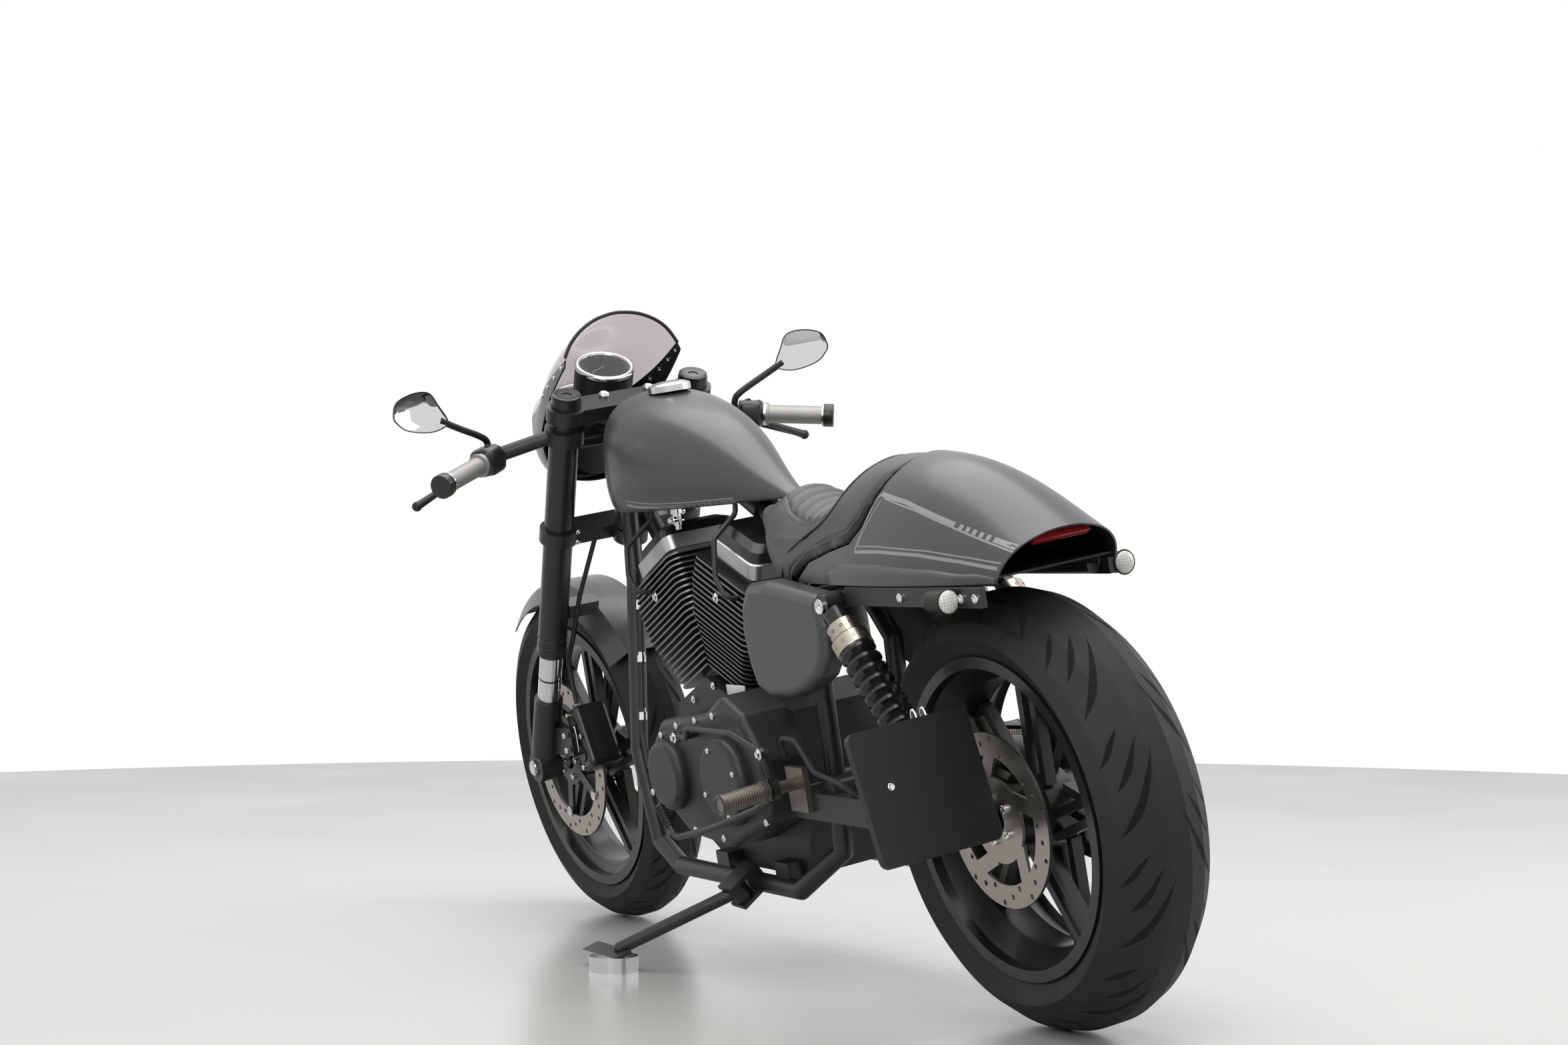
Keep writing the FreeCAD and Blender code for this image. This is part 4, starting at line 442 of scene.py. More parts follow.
def machine_axes(tree, place, origin):
    """Object coordinates as X, Y and Z on the upright machine, from an origin."""
    still = node_of(tree, "ShaderNodeMapping", [("Vector", place.outputs["Object"])], vector_type="TEXTURE",
                    Location=PARKED @ origin, Rotation=PARKED.to_euler())
    return node_of(tree, "ShaderNodeSeparateXYZ", [("Vector", still.outputs[0])]).outputs


def from_axle(tree, x, z):
    """The distance from an axle, from X and Z."""
    squares = maths(tree, "ADD", maths(tree, "MULTIPLY", x, x), maths(tree, "MULTIPLY", z, z))
    return maths(tree, "SQRT", squares)


def between(tree, value, low, high):
    above = maths(tree, "GREATER_THAN", value, low * MM)
    return maths(tree, "MULTIPLY", above, maths(tree, "LESS_THAN", value, high * MM))


# %% [markdown]
# The coats. Paint here is satin: wide soft highlights and a faint flake. Powder-coated steel is
# blacker, with an orange-peel skin. Bare metal keeps its colour in the highlight, so it is metallic.

# %% Paints, metals and rubbers
BLACK = coat((0.013, 0.013, 0.014), 0.4, grain=1300)
FINE_BLACK = coat((0.012, 0.012, 0.013), 0.32, grain=700)
ALLOY = coat((0.46, 0.46, 0.47), 0.36, metal=1.0, grain=1100)
BRIGHT = coat((0.72, 0.72, 0.73), 0.13, metal=1.0, spread=0.05, grain=500)
CHAMPAGNE = coat((0.42, 0.38, 0.31), 0.3, metal=1.0)
DISC = coat((0.37, 0.345, 0.315), 0.36, metal=1.0, clouds=30, grain=1700)
grey_paint = finish("satin grey paint", coat((0.066, 0.067, 0.072), 0.34, metal=0.25, spread=0.1, grain=2600),
                    0.04, 0.0002, clear=0.08)
black_powder = finish("black powder coat", BLACK, 0.22, 0.0002)
black_satin = finish("black satin paint", FINE_BLACK, clear=0.1)
engine_black = finish("wrinkle black engine paint", coat((0.015, 0.015, 0.016), 0.5, grain=1500), 0.5, 0.0003)
charcoal = finish("charcoal cover paint", coat((0.022, 0.022, 0.025), 0.44, metal=0.1, grain=1500), 0.25,
                  0.0003)
polished = finish("polished aluminium", coat((0.6, 0.6, 0.61), 0.18, metal=1.0, spread=0.05, grain=500), 0.02)
bright_steel = finish("bright plated steel", BRIGHT, 0.02)
disc_steel = finish("ground disc steel", DISC, 0.1)
gunmetal = finish("gunmetal", coat((0.2, 0.185, 0.16), 0.4, metal=0.9, grain=1400), 0.3)
grip_alloy = finish("bead-blasted grip", coat((0.33, 0.32, 0.3), 0.5, metal=0.6, grain=1900), 0.6, 0.0003)
black_plastic = finish("black plastic", coat((0.012, 0.012, 0.013), 0.46, grain=1100), 0.2, specular=0.32)
spring_gloss = finish("gloss black", coat((0.009, 0.009, 0.01), 0.14, grain=500), 0.02, clear=0.5)
hose_rubber = finish("hose rubber", coat((0.012, 0.012, 0.012), 0.5), 0.1)
stripe_silver = finish("silver pinstripe", coat((0.3, 0.3, 0.315), 0.4, metal=0.3, spread=0.05, grain=2600),
                       0.03)
mirror_glass = finish("mirror glass", coat((0.66, 0.65, 0.66), 0.03, metal=1.0, spread=0.02,
                                           rough_spread=0.0), 0.0)
black_glass = finish("dial glass", coat((0.012, 0.012, 0.013), 0.3, spread=0.1, rough_spread=0.02), 0.0,
                     specular=0.3)
bare_plate = finish("brushed blank plate", coat((0.6, 0.6, 0.6), 0.3, metal=1.0, grain=600), 0.1)
dial_white = finish("dial marks", coat((0.55, 0.55, 0.53), 0.5), 0.0)
STEEL = ("bright_steel", bright_steel)
POLISHED = ("polished_alloy", polished)
SATIN = ("black_plastic", black_satin)
PLASTIC = ("black_plastic", black_plastic)
FRAME_BLACK = ("black_frame", black_satin)
STRIPES = ("grey_paint", stripe_silver)

# %% [markdown]
# Tyre rubber is dull black with long curved grooves. Their relief is worked out from the wheel's own
# axes: the angle round the axle plus a bend across the tread gives bowed lines. Three sets of them are
# tapered at both ends into crescents. A groove is deeper, and painted darker as shade in it. Rings mark
# the side wall.

# %% Tyre rubber with curved sipes
RUBBER = coat((0.018, 0.018, 0.019), 0.62, spread=0.5, rough_spread=0.3, clouds=14, grain=1500)
# Painted shade: the groove coat is darker, rougher rubber where the grooves are.
GROOVE_PAINTED_SHADE = coat((0.005, 0.005, 0.005), 0.9)
CRESCENTS = ((0.0, 0.1, 0.8, 0.062), (0.32, 0.3, 0.74, 0.05), (0.62, 0.5, 0.86, 0.04))


def tyre_material(name, axle, radius, half, count, crown):
    """Half is half the tread's width, count the bows round the wheel, and crown the tread's depth."""
    material, tree, shader, place = blank_material(name, Specular_IOR_Level=0.3)
    x, y, z = machine_axes(tree, place, axle)
    turn = maths(tree, "MULTIPLY", maths(tree, "ARCTAN2", z, x), count / (2 * math.pi))
    spread = maths(tree, "ABSOLUTE", maths(tree, "DIVIDE", y, half * MM))
    hand = maths(tree, "MULTIPLY", maths(tree, "GREATER_THAN", y, 0.0), 0.5)
    flat = from_axle(tree, x, z)
    on_tread = between(tree, flat, radius - crown, radius + 5)
    across = maths(tree, "POWER", spread, 0.55)
    bow = maths(tree, "MULTIPLY_ADD", across, -1.15, maths(tree, "ADD", turn, hand))
    widest = None
    for shift, low, high, wide in CRESCENTS:
        wave = maths(tree, "PINGPONG", maths(tree, "ADD", bow, shift), 0.5)
        share = node_of(tree, "ShaderNodeMapRange", [("Value", spread)], From_Min=low, From_Max=high)
        taper = maths(tree, "SINE", maths(tree, "MULTIPLY", share.outputs[0], math.pi))
        crescent = maths(tree, "LESS_THAN", wave, maths(tree, "MULTIPLY", taper, wide))
        widest = crescent if widest is None else maths(tree, "MAXIMUM", crescent, widest)
    groove = maths(tree, "MULTIPLY", widest, on_tread)
    ring = maths(tree, "LESS_THAN", maths(tree, "PINGPONG", flat, 0.012), 0.0012)
    wall_ring = maths(tree, "MULTIPLY", ring, maths(tree, "LESS_THAN", flat, (radius - crown) * MM))
    # The grooves get the darker coat, as painted shade in them.
    rubber = two_coats(tree, shader, place, groove, RUBBER, GROOVE_PAINTED_SHADE)
    deepest = maths(tree, "MAXIMUM", groove, maths(tree, "MULTIPLY", wall_ring, 0.4))
    cut = maths(tree, "MULTIPLY", deepest, -8.0)
    relief_on(tree, shader, maths(tree, "MULTIPLY_ADD", rubber.outputs["Height"], 0.35, cut), 0.6, 0.0006)
    return material


rear_rubber = tyre_material("rear tyre rubber", REAR_AXLE, REAR_RADIUS, 90, 11, 62)
front_rubber = tyre_material("front tyre rubber", FRONT_AXLE, FRONT_RADIUS, 61, 13, 45)
print("tyre finishes made")

# %% [markdown]
# Some castings carry two finishes. The fork's inner tubes are bright between the black outer tubes and
# the feet, with a dark dust ring. The rocker boxes are bare below and black on top. The discs' rings
# are ground steel on black carriers. The shocks' collars are champagne. The fins are black, with a
# painted highlight of grey metal on their edges, which the mask finds from the normal: an edge looks
# away from the cylinder's axis.

# %% Finishes with two zones
def fork_zone(tree, place):
    x, _, z = machine_axes(tree, place, FORK_FOOT)
    height = maths(tree, "MULTIPLY_ADD", z, FORK_UP.z, maths(tree, "MULTIPLY", x, FORK_UP.x))
    return maths(tree, "SUBTRACT", between(tree, height, 503.5, 602), between(tree, height, 548, 552))


def bank_height(tree, place):
    x, _, z = machine_axes(tree, place, spot(CRANK_X, 0, CRANK_Z))
    across = maths(tree, "MULTIPLY", maths(tree, "ABSOLUTE", x), math.sin(CYLINDER_LEAN))
    return maths(tree, "MULTIPLY_ADD", z, math.cos(CYLINDER_LEAN), across)


def lid_zone(tree, place):
    return between(tree, bank_height(tree, place), 385.5, 500)


# The fins' edges, where a painted highlight of grey metal goes.
def fin_edge_highlight_zone(tree, place):
    x, _, _ = machine_axes(tree, place, spot(CRANK_X, 0, CRANK_Z))
    hand = maths(tree, "SIGN", x)
    turned = node_of(tree, "ShaderNodeMapping", [("Vector", place.outputs["Normal"])], vector_type="NORMAL",
                     Rotation=(LEAN, 0, 0))
    split = node_of(tree, "ShaderNodeSeparateXYZ", [("Vector", turned.outputs[0])])
    lean = maths(tree, "MULTIPLY", maths(tree, "MULTIPLY", split.outputs["X"], hand), math.sin(CYLINDER_LEAN))
    along = maths(tree, "MULTIPLY_ADD", split.outputs["Z"], math.cos(CYLINDER_LEAN), lean)
    edge = maths(tree, "LESS_THAN", maths(tree, "ABSOLUTE", along), 0.4)
    return maths(tree, "MULTIPLY", edge, maths(tree, "GREATER_THAN", bank_height(tree, place), 0.14))


def disc_ring_zone(tree, place):
    x, _, z = machine_axes(tree, place, FRONT_AXLE)
    return maths(tree, "GREATER_THAN", from_axle(tree, x, z), 0.1118)


def collar_zone(tree, place):
    x, _, z = machine_axes(tree, place, at_shock(SHOCK_FOOT, 0))
    along = maths(tree, "MULTIPLY_ADD", z, 0.757, maths(tree, "MULTIPLY", x, 0.653))
    return maths(tree, "ADD", between(tree, along, 284, 306), between(tree, along, 310, 334))


fork_finish = zoned("fork black and bright", FINE_BLACK, BRIGHT, fork_zone)
rocker_finish = zoned("rocker box alloy and black", ALLOY, FINE_BLACK, lid_zone, 0.2, 0.0003)
# The fins are black; their edges carry a painted highlight of grey metal.
fins_with_painted_edge_highlight = zoned("black fins with painted edge highlight", BLACK, coat((0.2, 0.2, 0.205), 0.4, metal=0.8),
                   fin_edge_highlight_zone, 0.2, 0.0003)
disc_finish = zoned("floating disc", FINE_BLACK, DISC, disc_ring_zone, 0.1)
shock_finish = zoned("shock black and champagne", coat((0.01, 0.01, 0.011), 0.2), CHAMPAGNE, collar_zone,
                     0.03)

# %% [markdown]
# The screen is a thin sheet of pink-smoked plastic, clear enough to see the wall behind it. The small
# lenses are clear plastic over bright reflectors, so they are pale and glossy with a moulded ribbing.
# Their colour carries painted light and shade: lighter on the ribs' crests, darker in their hollows.

# %% Screen and lenses
smoke, _, _, _ = blank_material("smoked screen", Base_Color=(0.7, 0.56, 0.65, 1), Roughness=0.05, Alpha=0.4)


def lens_material(name, colour, pitch):
    """Pitch is the ribs' spacing in millimetres."""
    material, tree, shader, place = blank_material(name, Roughness=0.12, Coat_Weight=0.8, Coat_Roughness=0.03)
    _, y, z = machine_axes(tree, place, spot(0, 0, 0))
    rows, columns = [maths(tree, "PINGPONG", value, pitch * MM) for value in (z, y)]
    ribs = maths(tree, "MULTIPLY", maths(tree, "ADD", rows, columns), 1 / (2 * pitch * MM))
    # Painted light and shade: the colour is lighter on the ribs' crests and darker in their hollows.
    rib_light_and_shade = node_of(tree, "ShaderNodeMapRange", [("Value", ribs)], To_Min=0.55, To_Max=1.15)
    tint = node_of(tree, "ShaderNodeVectorMath", operation="SCALE")
    tint.inputs[0].default_value = colour
    tree.links.new(rib_light_and_shade.outputs[0], tint.inputs["Scale"])
    tree.links.new(tint.outputs[0], shader.inputs["Base Color"])
    relief_on(tree, shader, ribs, 0.5, 0.0008)
    return material


clear_lens = lens_material("clear lens", (0.78, 0.77, 0.74), 2.2)
red_lens = lens_material("red lens", (0.33, 0.012, 0.014), 3.0)
print("screen and lenses made")

# %% [markdown]
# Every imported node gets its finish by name. The table shows at a glance what is made of what.

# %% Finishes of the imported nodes
NODE_FINISH = {
    black_powder: ("frame_tubes", "swingarm", "fender_struts", "yokes", "handlebars", "side_stand",
                   "foot_controls"),
    black_satin: ("caliper_rear", "calipers_front", "mirrors", "rim_front", "rim_rear", "pulley_rear",
                  "headlamp"),
    engine_black: ("engine_case", "exhaust"),
    charcoal: ("primary_cover", "air_cleaner"),
    fins_with_painted_edge_highlight: ("cylinders",),
    rocker_finish: ("rocker_boxes",),
    fork_finish: ("fork_legs",),
    disc_finish: ("discs_front",),
    shock_finish: ("shocks",),
    disc_steel: ("disc_rear",),
    polished: ("filler_cap", "stand_puck"),
    bright_steel: ("axle_rear", "axle_front"),
    grey_paint: ("fuel_tank", "tail_shell", "side_covers", "fairing", "mudguard_front"),
    black_plastic: ("mudguard_rear", "indicators", "plate_holder", "bar_controls", "gauge", "seat"),
    red_lens: ("tail_lamp",),
    gunmetal: ("footpegs",),
    grip_alloy: ("grips",),
    rear_rubber: ("tyre_rear",),
    front_rubber: ("tyre_front",),
    hose_rubber: ("drive_belt", "cables", "brake_hoses"),
    smoke: ("windscreen",),
}
for material, names in NODE_FINISH.items():
    for name in names:
        mesh = NODES[name].data
        mesh.materials.clear()
        mesh.materials.append(material)
print("finished nodes:", sum(len(names) for names in NODE_FINISH.values()), "of", len(NODES))

# %% [markdown]
# The fairing and the tail are painted outside and plain black inside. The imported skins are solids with
# a wall, so the lining is a copy of the inner faces only: those that look towards the middle of the
# hollow. It is lifted 0.4 mm off the wall along its normals, so that the two never share a surface.

# %% Black linings inside the hollow skins
def lining(node, name, body, ahead, height, lowest=0.0):
    """The hollow's middle is a little ahead of each face and at one height; sizes in metres."""
    piece = merged_copy(node, name)
    shape = bmesh.new()
    shape.from_mesh(piece.data)
    shape.normal_update()
    outer = []
    for face in shape.faces:
        centre = face.calc_center_median()
        inward = Vector((centre.x + ahead, 0, height)) - centre
        if face.normal.dot(inward) < 0 or centre.z <= lowest:
            outer.append(face)
    bmesh.ops.delete(shape, geom=outer, context="FACES")
    for vert in shape.verts:
        vert.co += vert.normal * 0.0004
    shape.to_mesh(piece.data)
    shape.free()
    return put(piece, name, body, *PLASTIC)


lining("fairing", "fairing_lining", "steering", -0.03, 0.95)
lining("tail_shell", "tail_lining", "root", 0.03, 0.69, lowest=0.682)

# %% [markdown]
# The pinstripes are thin paint lines on curved skins. Each is a narrow ribbon: a row of points in side
# view, widened up and down, then thrown sideways onto the skin with rays. It lies 0.25 mm proud.

# %% Pinstripes on the tank and the tail
def rounded_row(points, step):
    """Points along a line of straight runs, each about a step apart."""
    row = []
    for start, end in zip(points, points[1:]):
        start, end = Vector(start), Vector(end)
        count = max(1, round((end - start).length / step))
        row += [start.lerp(end, i / count) for i in range(count)]
    return row + [Vector(points[-1])]


def ribbon(skin, row, width, side):
    """A strip on a skin: the row holds X and Z in millimetres, the rays come from one side."""
    strip = bmesh.new()
    rails = []
    for place, point in enumerate(row):
        ahead = row[min(place + 1, len(row) - 1)] - row[max(place - 1, 0)]
        across = Vector((-ahead.y, ahead.x)).normalized() * (width / 2)
        pair = []
        for shift in (across, -across):
            hit, _ = side_hit(skin, point.x + shift.x, point.y + shift.y, side)
            pair.append(strip.verts.new(hit + LEFT * side * 0.00025) if hit else None)
        rails.append(pair)
    for (a, b), (c, d) in zip(rails, rails[1:]):
        if a and b and c and d:
            strip.faces.new((a, b, d, c) if side < 0 else (a, c, d, b))
    return piece_from(strip, "ribbon")


TANK_LINES = [(4.5, [(984, 818), (954, 812.5), (892, 808.5), (828, 807.5)]), (4.5, [(736, 807), (702, 807)]),
              (2, [(985, 826), (945, 820), (900, 816), (860, 814.5), (815, 813.5), (702, 813)])]
TANK_LINES += [(4.5, [(x, 807.4), (x - 8, 807.3)]) for x in range(750, 824, 14)]
TAIL_LINES = [(6, [(159, 812), (88, 799), (22, 781), (-36, 764)]), (6, [(-122, 738), (-163, 725)]),
              (2.2, [(148, 806), (54, 785.5), (-31, 761), (-168, 718)]),
              (3, [(159, 812), (168, 808), (179, 786), (194, 758), (212, 731)]),
              (1.8, [(156, 803), (170, 785), (187, 761), (203, 739.5)]),
              (5, [(212, 731), (139, 731), (37, 725), (-59, 713.5), (-150, 699)]),
              (2, [(203, 739.5), (140, 738.5), (12, 730), (-80, 718), (-149, 707)])]
DASHES = [(-46 - 14 * step, 760.98 - 4.228 * step) for step in range(6)]
TAIL_LINES += [(6.5, [(x, z), (x - 7.5, z - 2.3)]) for x, z in DASHES]
tank_skin, tail_skin = skin_of(NODES["fuel_tank"]), skin_of(NODES["tail_shell"])
for side, word in SIDES:
    for where, skin, lines in (("tank", tank_skin, TANK_LINES), ("tail", tail_skin, TAIL_LINES)):
        strips = [ribbon(skin, rounded_row(line, 6), width, side) for width, line in lines]
        put(join(strips), where + "_stripes_" + word, "root", *STRIPES)

# %% [markdown]
# A raised moulding runs along the tail's lower flank and swells round the shock's upper eye. It is a
# patch of the skin itself: a grid is thrown onto the flank and pushed out, more towards its foot.

# %% The moulding on the tail's lower flank
MOULDING_TOP = [(338, 684), (322, 704), (275, 713), (165, 713), (34, 705), (-80, 696), (-166, 685)]
MOULDING_FRONT, MOULDING_LONG, MOULDING_FOOT, MOULDING_SWELL = 337, 502, 681.5, 6.5
COLUMNS, ROWS = 63, 8


def moulding_top(x):
    for (x1, z1), (x2, z2) in zip(MOULDING_TOP, MOULDING_TOP[1:]):
        if x2 <= x <= x1:
            share = (x1 - x) / (x1 - x2)
            return z1 + (z2 - z1) * (3 * share ** 2 - 2 * share ** 3)
    return MOULDING_TOP[-1][1]


for side, word in SIDES:
    patch = bmesh.new()
    columns = []
    for i in range(COLUMNS + 1):
        x = MOULDING_FRONT - MOULDING_LONG * i / COLUMNS
        top, column = moulding_top(x), []
        for drop in [j / ROWS for j in range(ROWS + 1)]:
            hit, _ = side_hit(tail_skin, x, top + (MOULDING_FOOT - top) * drop, side)
            rise = math.sin(min(drop * 3.2, 1) * math.pi / 2) * min(1, i / 5, (COLUMNS - i) / 14)
            out = LEFT * side * ((MOULDING_SWELL * rise - 0.6) * MM)
            column.append(patch.verts.new(hit + out) if hit else None)
        columns.append(column)
    for left, right in zip(columns, columns[1:]):
        for j in range(ROWS):
            corners = (left[j], right[j], right[j + 1], left[j + 1])
            if all(corners):
                patch.faces.new(corners if side < 0 else corners[::-1])
    bmesh.ops.recalc_face_normals(patch, faces=patch.faces)
    piece = modify(piece_from(patch, "moulding"), "SOLIDIFY", thickness=0.0012, offset=-1)
    put(piece, "tail_moulding_" + word, "root", "grey_paint", grey_paint, smooth=60)

# %% [markdown]
# The filler cap is a polished, softly domed disc with a thin rim. A cylinder is given its dome by
# insetting the top four times and raising each ring a little less.

# %% Filler cap
cap = stepped(cylinder(spot(975, 0, 1001), UP, 38, 11, sides=64),
              ((0.003, 0.0022), (0.008, 0.003), (0.01, 0.0018), (0.009, 0.0007)))
put(cap, "filler_cap_dome", "root", *POLISHED, replaces=["filler_cap"], smooth=50)

# %% [markdown]
# The seat is one padded leather piece: a low nose, a dished middle with a quilted panel, and a bolster
# that climbs to the tail. Blender's cloth makes the padding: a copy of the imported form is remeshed
# evenly, drawn in a little, and blown up softly. Only the outward travel is kept, capped and evened out
# between neighbours, so no creases form. Where the seat meets the tail or the frame it doesn't move. The
# seat's hollow has thin walls, which are thickened inside first so that the remesh leaves no holes.

# %% Seat: soft padding
TAIL_EDGE = [(428, 686), (384, 712), (306, 729), (230, 742), (192, 768), (174, 800), (160, 828), (146, 850),
             (134, 866)]
NOSE_LIFT, DRAWN_IN, MOST_SWELL = 0.012, 0.003, 0.0075


def edge_distance(x, z):
    """How far a place in side view is from the tail's front edge, in millimetres."""
    here, nearest = Vector((x, z)), 1e9
    for start, end in zip(TAIL_EDGE, TAIL_EDGE[1:]):
        start, run = Vector(start), Vector(end) - Vector(start)
        share = ramp((here - start).dot(run), 0, run.length_squared)
        nearest = min(nearest, (here - start - run * share).length)
    return nearest


pad = join([merged_copy("seat", "seat_pad")] + [box(spot(403, side * 91.5, 716), (0.206, 0.011, 0.056))
                                                for side in (1, -1)])
for vert in pad.data.vertices:
    x, _, z = vert.co / MM
    vert.co.z += NOSE_LIFT * ramp(x, 440, 530) ** 2 * ramp(z, 700, 730)
modify(pad, "REMESH", mode="VOXEL", voxel_size=0.005)
freedom = []
for vert in pad.data.vertices:
    x, y, z = vert.co / MM
    outside = ramp(vert.normal.z + abs(vert.normal.y), 0.15, 0.45)
    freedom.append(ramp(edge_distance(x, z), 4, 20) * ramp(z, 692, 710) * outside)
for vert, free in zip(pad.data.vertices, freedom):
    vert.co -= vert.normal * (DRAWN_IN * free)
drawn_in = [v.co.copy() for v in pad.data.vertices]
outward = [v.normal.copy() for v in pad.data.vertices]
puff = pad.modifiers.new("puff", "CLOTH")
puff.settings.use_pressure = True
puff.settings.uniform_pressure_force = 4.0
puff.settings.effector_weights.gravity = 0.0
for number in range(1, 21):
    bpy.context.scene.frame_set(number)
bpy.ops.object.modifier_apply(modifier="puff")
bpy.context.scene.frame_set(1)
swell = [min(MOST_SWELL, max(0.0, (vert.co - start).dot(away)))
         for vert, start, away in zip(pad.data.vertices, drawn_in, outward)]
near = [[] for _ in swell]
for edge in pad.data.edges:
    first, second = edge.vertices
    near[first].append(second)
    near[second].append(first)
for _ in range(12):
    swell = [(rise + sum(swell[n] for n in ties)) / (1 + len(ties)) for rise, ties in zip(swell, near)]
for vert, start, away, rise, free in zip(pad.data.vertices, drawn_in, outward, swell, freedom):
    vert.co = start + away * (rise * free)
modify(pad, "SMOOTH", factor=0.5, iterations=3)
modify(pad, "SUBSURF", levels=1, render_levels=1)
print("seat pad points:", len(pad.data.vertices))

# %% [markdown]
# The quilted panel has cross pleats inside a stitched border. Each point of the top that lies in the
# panel sinks between the pleats, and a narrow channel marks the border. Near the tail a gloss band is
# painted into the leather, kept as an attribute that the material reads.

# %% Seat: pleats, border and gloss band
PANEL = [(548, 20), (536, 44), (500, 60), (440, 68), (380, 70), (320, 64), (286, 50), (276, 24)]
FRONT, BACK = PANEL[0][0], PANEL[-1][0]
PLEAT, PLEAT_DEEP, BORDER_DEEP, SEAM_DEEP = 25, 0.0052, 0.0035, 0.0022


def panel_half(x):
    for (x1, y1), (x2, y2) in zip(PANEL, PANEL[1:]):
        if x2 <= x <= x1:
            return y1 + (y2 - y1) * (x1 - x) / (x1 - x2)
    return 0


band = pad.data.attributes.new("band", "FLOAT", "POINT")
for number, vert in enumerate(pad.data.vertices):
    x, y, z = vert.co / MM
    half = panel_half(x)
    if vert.normal.z > 0.25 and half:
        inside = min(half - abs(y), FRONT - x, x - BACK)
        if inside > 0:
            rise = abs(math.sin(math.pi * (x + 0.0012 * y * y - BACK) / PLEAT)) ** 0.55
            vert.co.z -= PLEAT_DEEP * (1 - rise) * min(1, inside / 5)
            vert.co.z += 0.002 * min(1, inside / 8)
        if abs(inside) < 3.5:
            vert.co.z -= BORDER_DEEP * (1 - abs(inside) / 3.5)
    reach = edge_distance(x, z)
    band.data[number].value = 1 - ramp(reach, 17.5, 19)
    if 18 < reach < 24 and z > 690:
        vert.co -= vert.normal * (SEAM_DEEP * (1 - abs(reach - 21) / 3))

leather, tree, shader, place = blank_material("black leather")
hide = coat_node(tree, place, coat((0.048, 0.048, 0.051), 0.4, spread=0.3, clouds=20, grain=700))
pores = node_of(tree, "ShaderNodeTexVoronoi", [("Vector", place.outputs["Object"])],
                feature="DISTANCE_TO_EDGE", Scale=620.0)
creases = maths(tree, "MULTIPLY_ADD", pores.outputs["Distance"], 1.6,
                maths(tree, "MULTIPLY", hide.outputs["Height"], 0.3))
gloss = node_of(tree, "ShaderNodeAttribute", attribute_name="band").outputs["Fac"]
gloss_black = coat_node(tree, place, coat((0.004, 0.004, 0.004), 0.2))
BAND_CHANGES = (("RGBA", "Base Color", hide.outputs["Colour"], gloss_black.outputs["Colour"]),
                ("FLOAT", "Roughness", hide.outputs["Roughness"], 0.2),
                ("FLOAT", "Specular IOR Level", 0.5, 0.15))
for kind, target, first, second in BAND_CHANGES:
    tree.links.new(mixed(tree, kind, gloss, first, second), shader.inputs[target])
matt = maths(tree, "SUBTRACT", 1.0, gloss)
relief_on(tree, shader, maths(tree, "MULTIPLY", creases, matt), 0.35, 0.0005)
put(pad, "seat_pad", "root", "black_leather", leather, replaces=["seat"], smooth=70)

# %% [markdown]
# Piping follows the seam where the bolster starts, and two rows of stitches frame the panel. Both find
# the pad's surface with rays, so they lie on the leather wherever the cloth left it.

# %% Seat: piping and stitches
leather_skin = skin_of(pad)
SEAM = [(478, 101, 690), (463, 98, 722), (413, 97, 750), (354, 97, 771), (322, 92, 790), (305, 80, 813),
        (284, 64, 834), (262, 44, 845), (250, 20, 851), (247, 0, 852)]
line = []
for x, y, z in SEAM + [(x, -y, z) for x, y, z in reversed(SEAM[:-1])]:
    hit, normal = side_hit(leather_skin, x, z, 1 if y > 0 else -1)
    if abs(y) <= 70 or not hit:
        hit, normal, _, _ = leather_skin.find_nearest(spot(x, y, z))
    line.append(hit + normal * 0.0008)
put(tube(line, 2.4), "seat_piping", "root", "black_leather", spring_gloss, smooth=60)

deselect()
bpy.ops.mesh.primitive_uv_sphere_add(segments=8, ring_count=6, radius=1, location=(0, 0, 0.5))
bpy.context.object.scale.z = 0.5
stitch_model = keep_model(bpy.context.object)
stitches = []
for offset in (4.5, 9):
    rows = []
    for side in (1, -1):
        row = [(x + (offset if x > 500 else -offset if x < 300 else 0), side * (y + offset * 0.8))
               for x, y in PANEL]
        rows.append(rounded_row(row, 4.6))
    loop = rows[0] + rows[1][::-1]
    for here, ahead in zip(loop, loop[1:] + loop[:1]):
        hit, normal, _, _ = leather_skin.ray_cast(spot(here.x, here.y, 1000), -UP)
        along = Vector((ahead.x - here.x, ahead.y - here.y, 0))
        if hit and 0.5 < along.length < 12:
            along = along.normalized()
            along = (along - normal * along.dot(normal)).normalized()
            stitches.append((hit + normal * 0.0003, along, 0.5, 3.4))
grey_thread = finish("grey thread", coat((0.05, 0.05, 0.052), 0.6, grain=3000), 0.3)
strew("seat_stitches", stitch_model, stitches, "root", "black_leather", grey_thread, smooth=60)

# %% [markdown]
# Bolts repeat all over the machine, so a few models are made once and copied. A socket screw is a
# cylinder whose top is inset, raised into a low dome and sunk again for the key. A hex nut starts with
# six sides. A rosette is a washer face with a sunk middle, as on an axle. A tap has one smaller end.

# %% Models of a screw, a nut, a rosette and a tap
def fastener(sides, steps, last):
    """A model one metre in radius and height; each copy is scaled to its own size."""
    return keep_model(stepped(cylinder(spot(0, 0, 0), UP, 1000, 1000, sides), steps, last))


screw_model = fastener(20, [(0.2, 0.3)], (0.32, -0.7))
nut_model = fastener(6, [(0.22, 0.12)], (0.14, 0.35))
rosette_model = fastener(28, [(0.12, 0.25), (0.36, -0.5)], (0.14, -0.3))
tap_model = fastener(24, [], (0.25, 0.5))
print("fastener models made")

# %% [markdown]
# Each floating disc hangs on five polished buttons between its carrier and its ring. The axles end in
# bright hex nuts, and the calipers are held by bright socket screws with a banjo bolt for the hose.

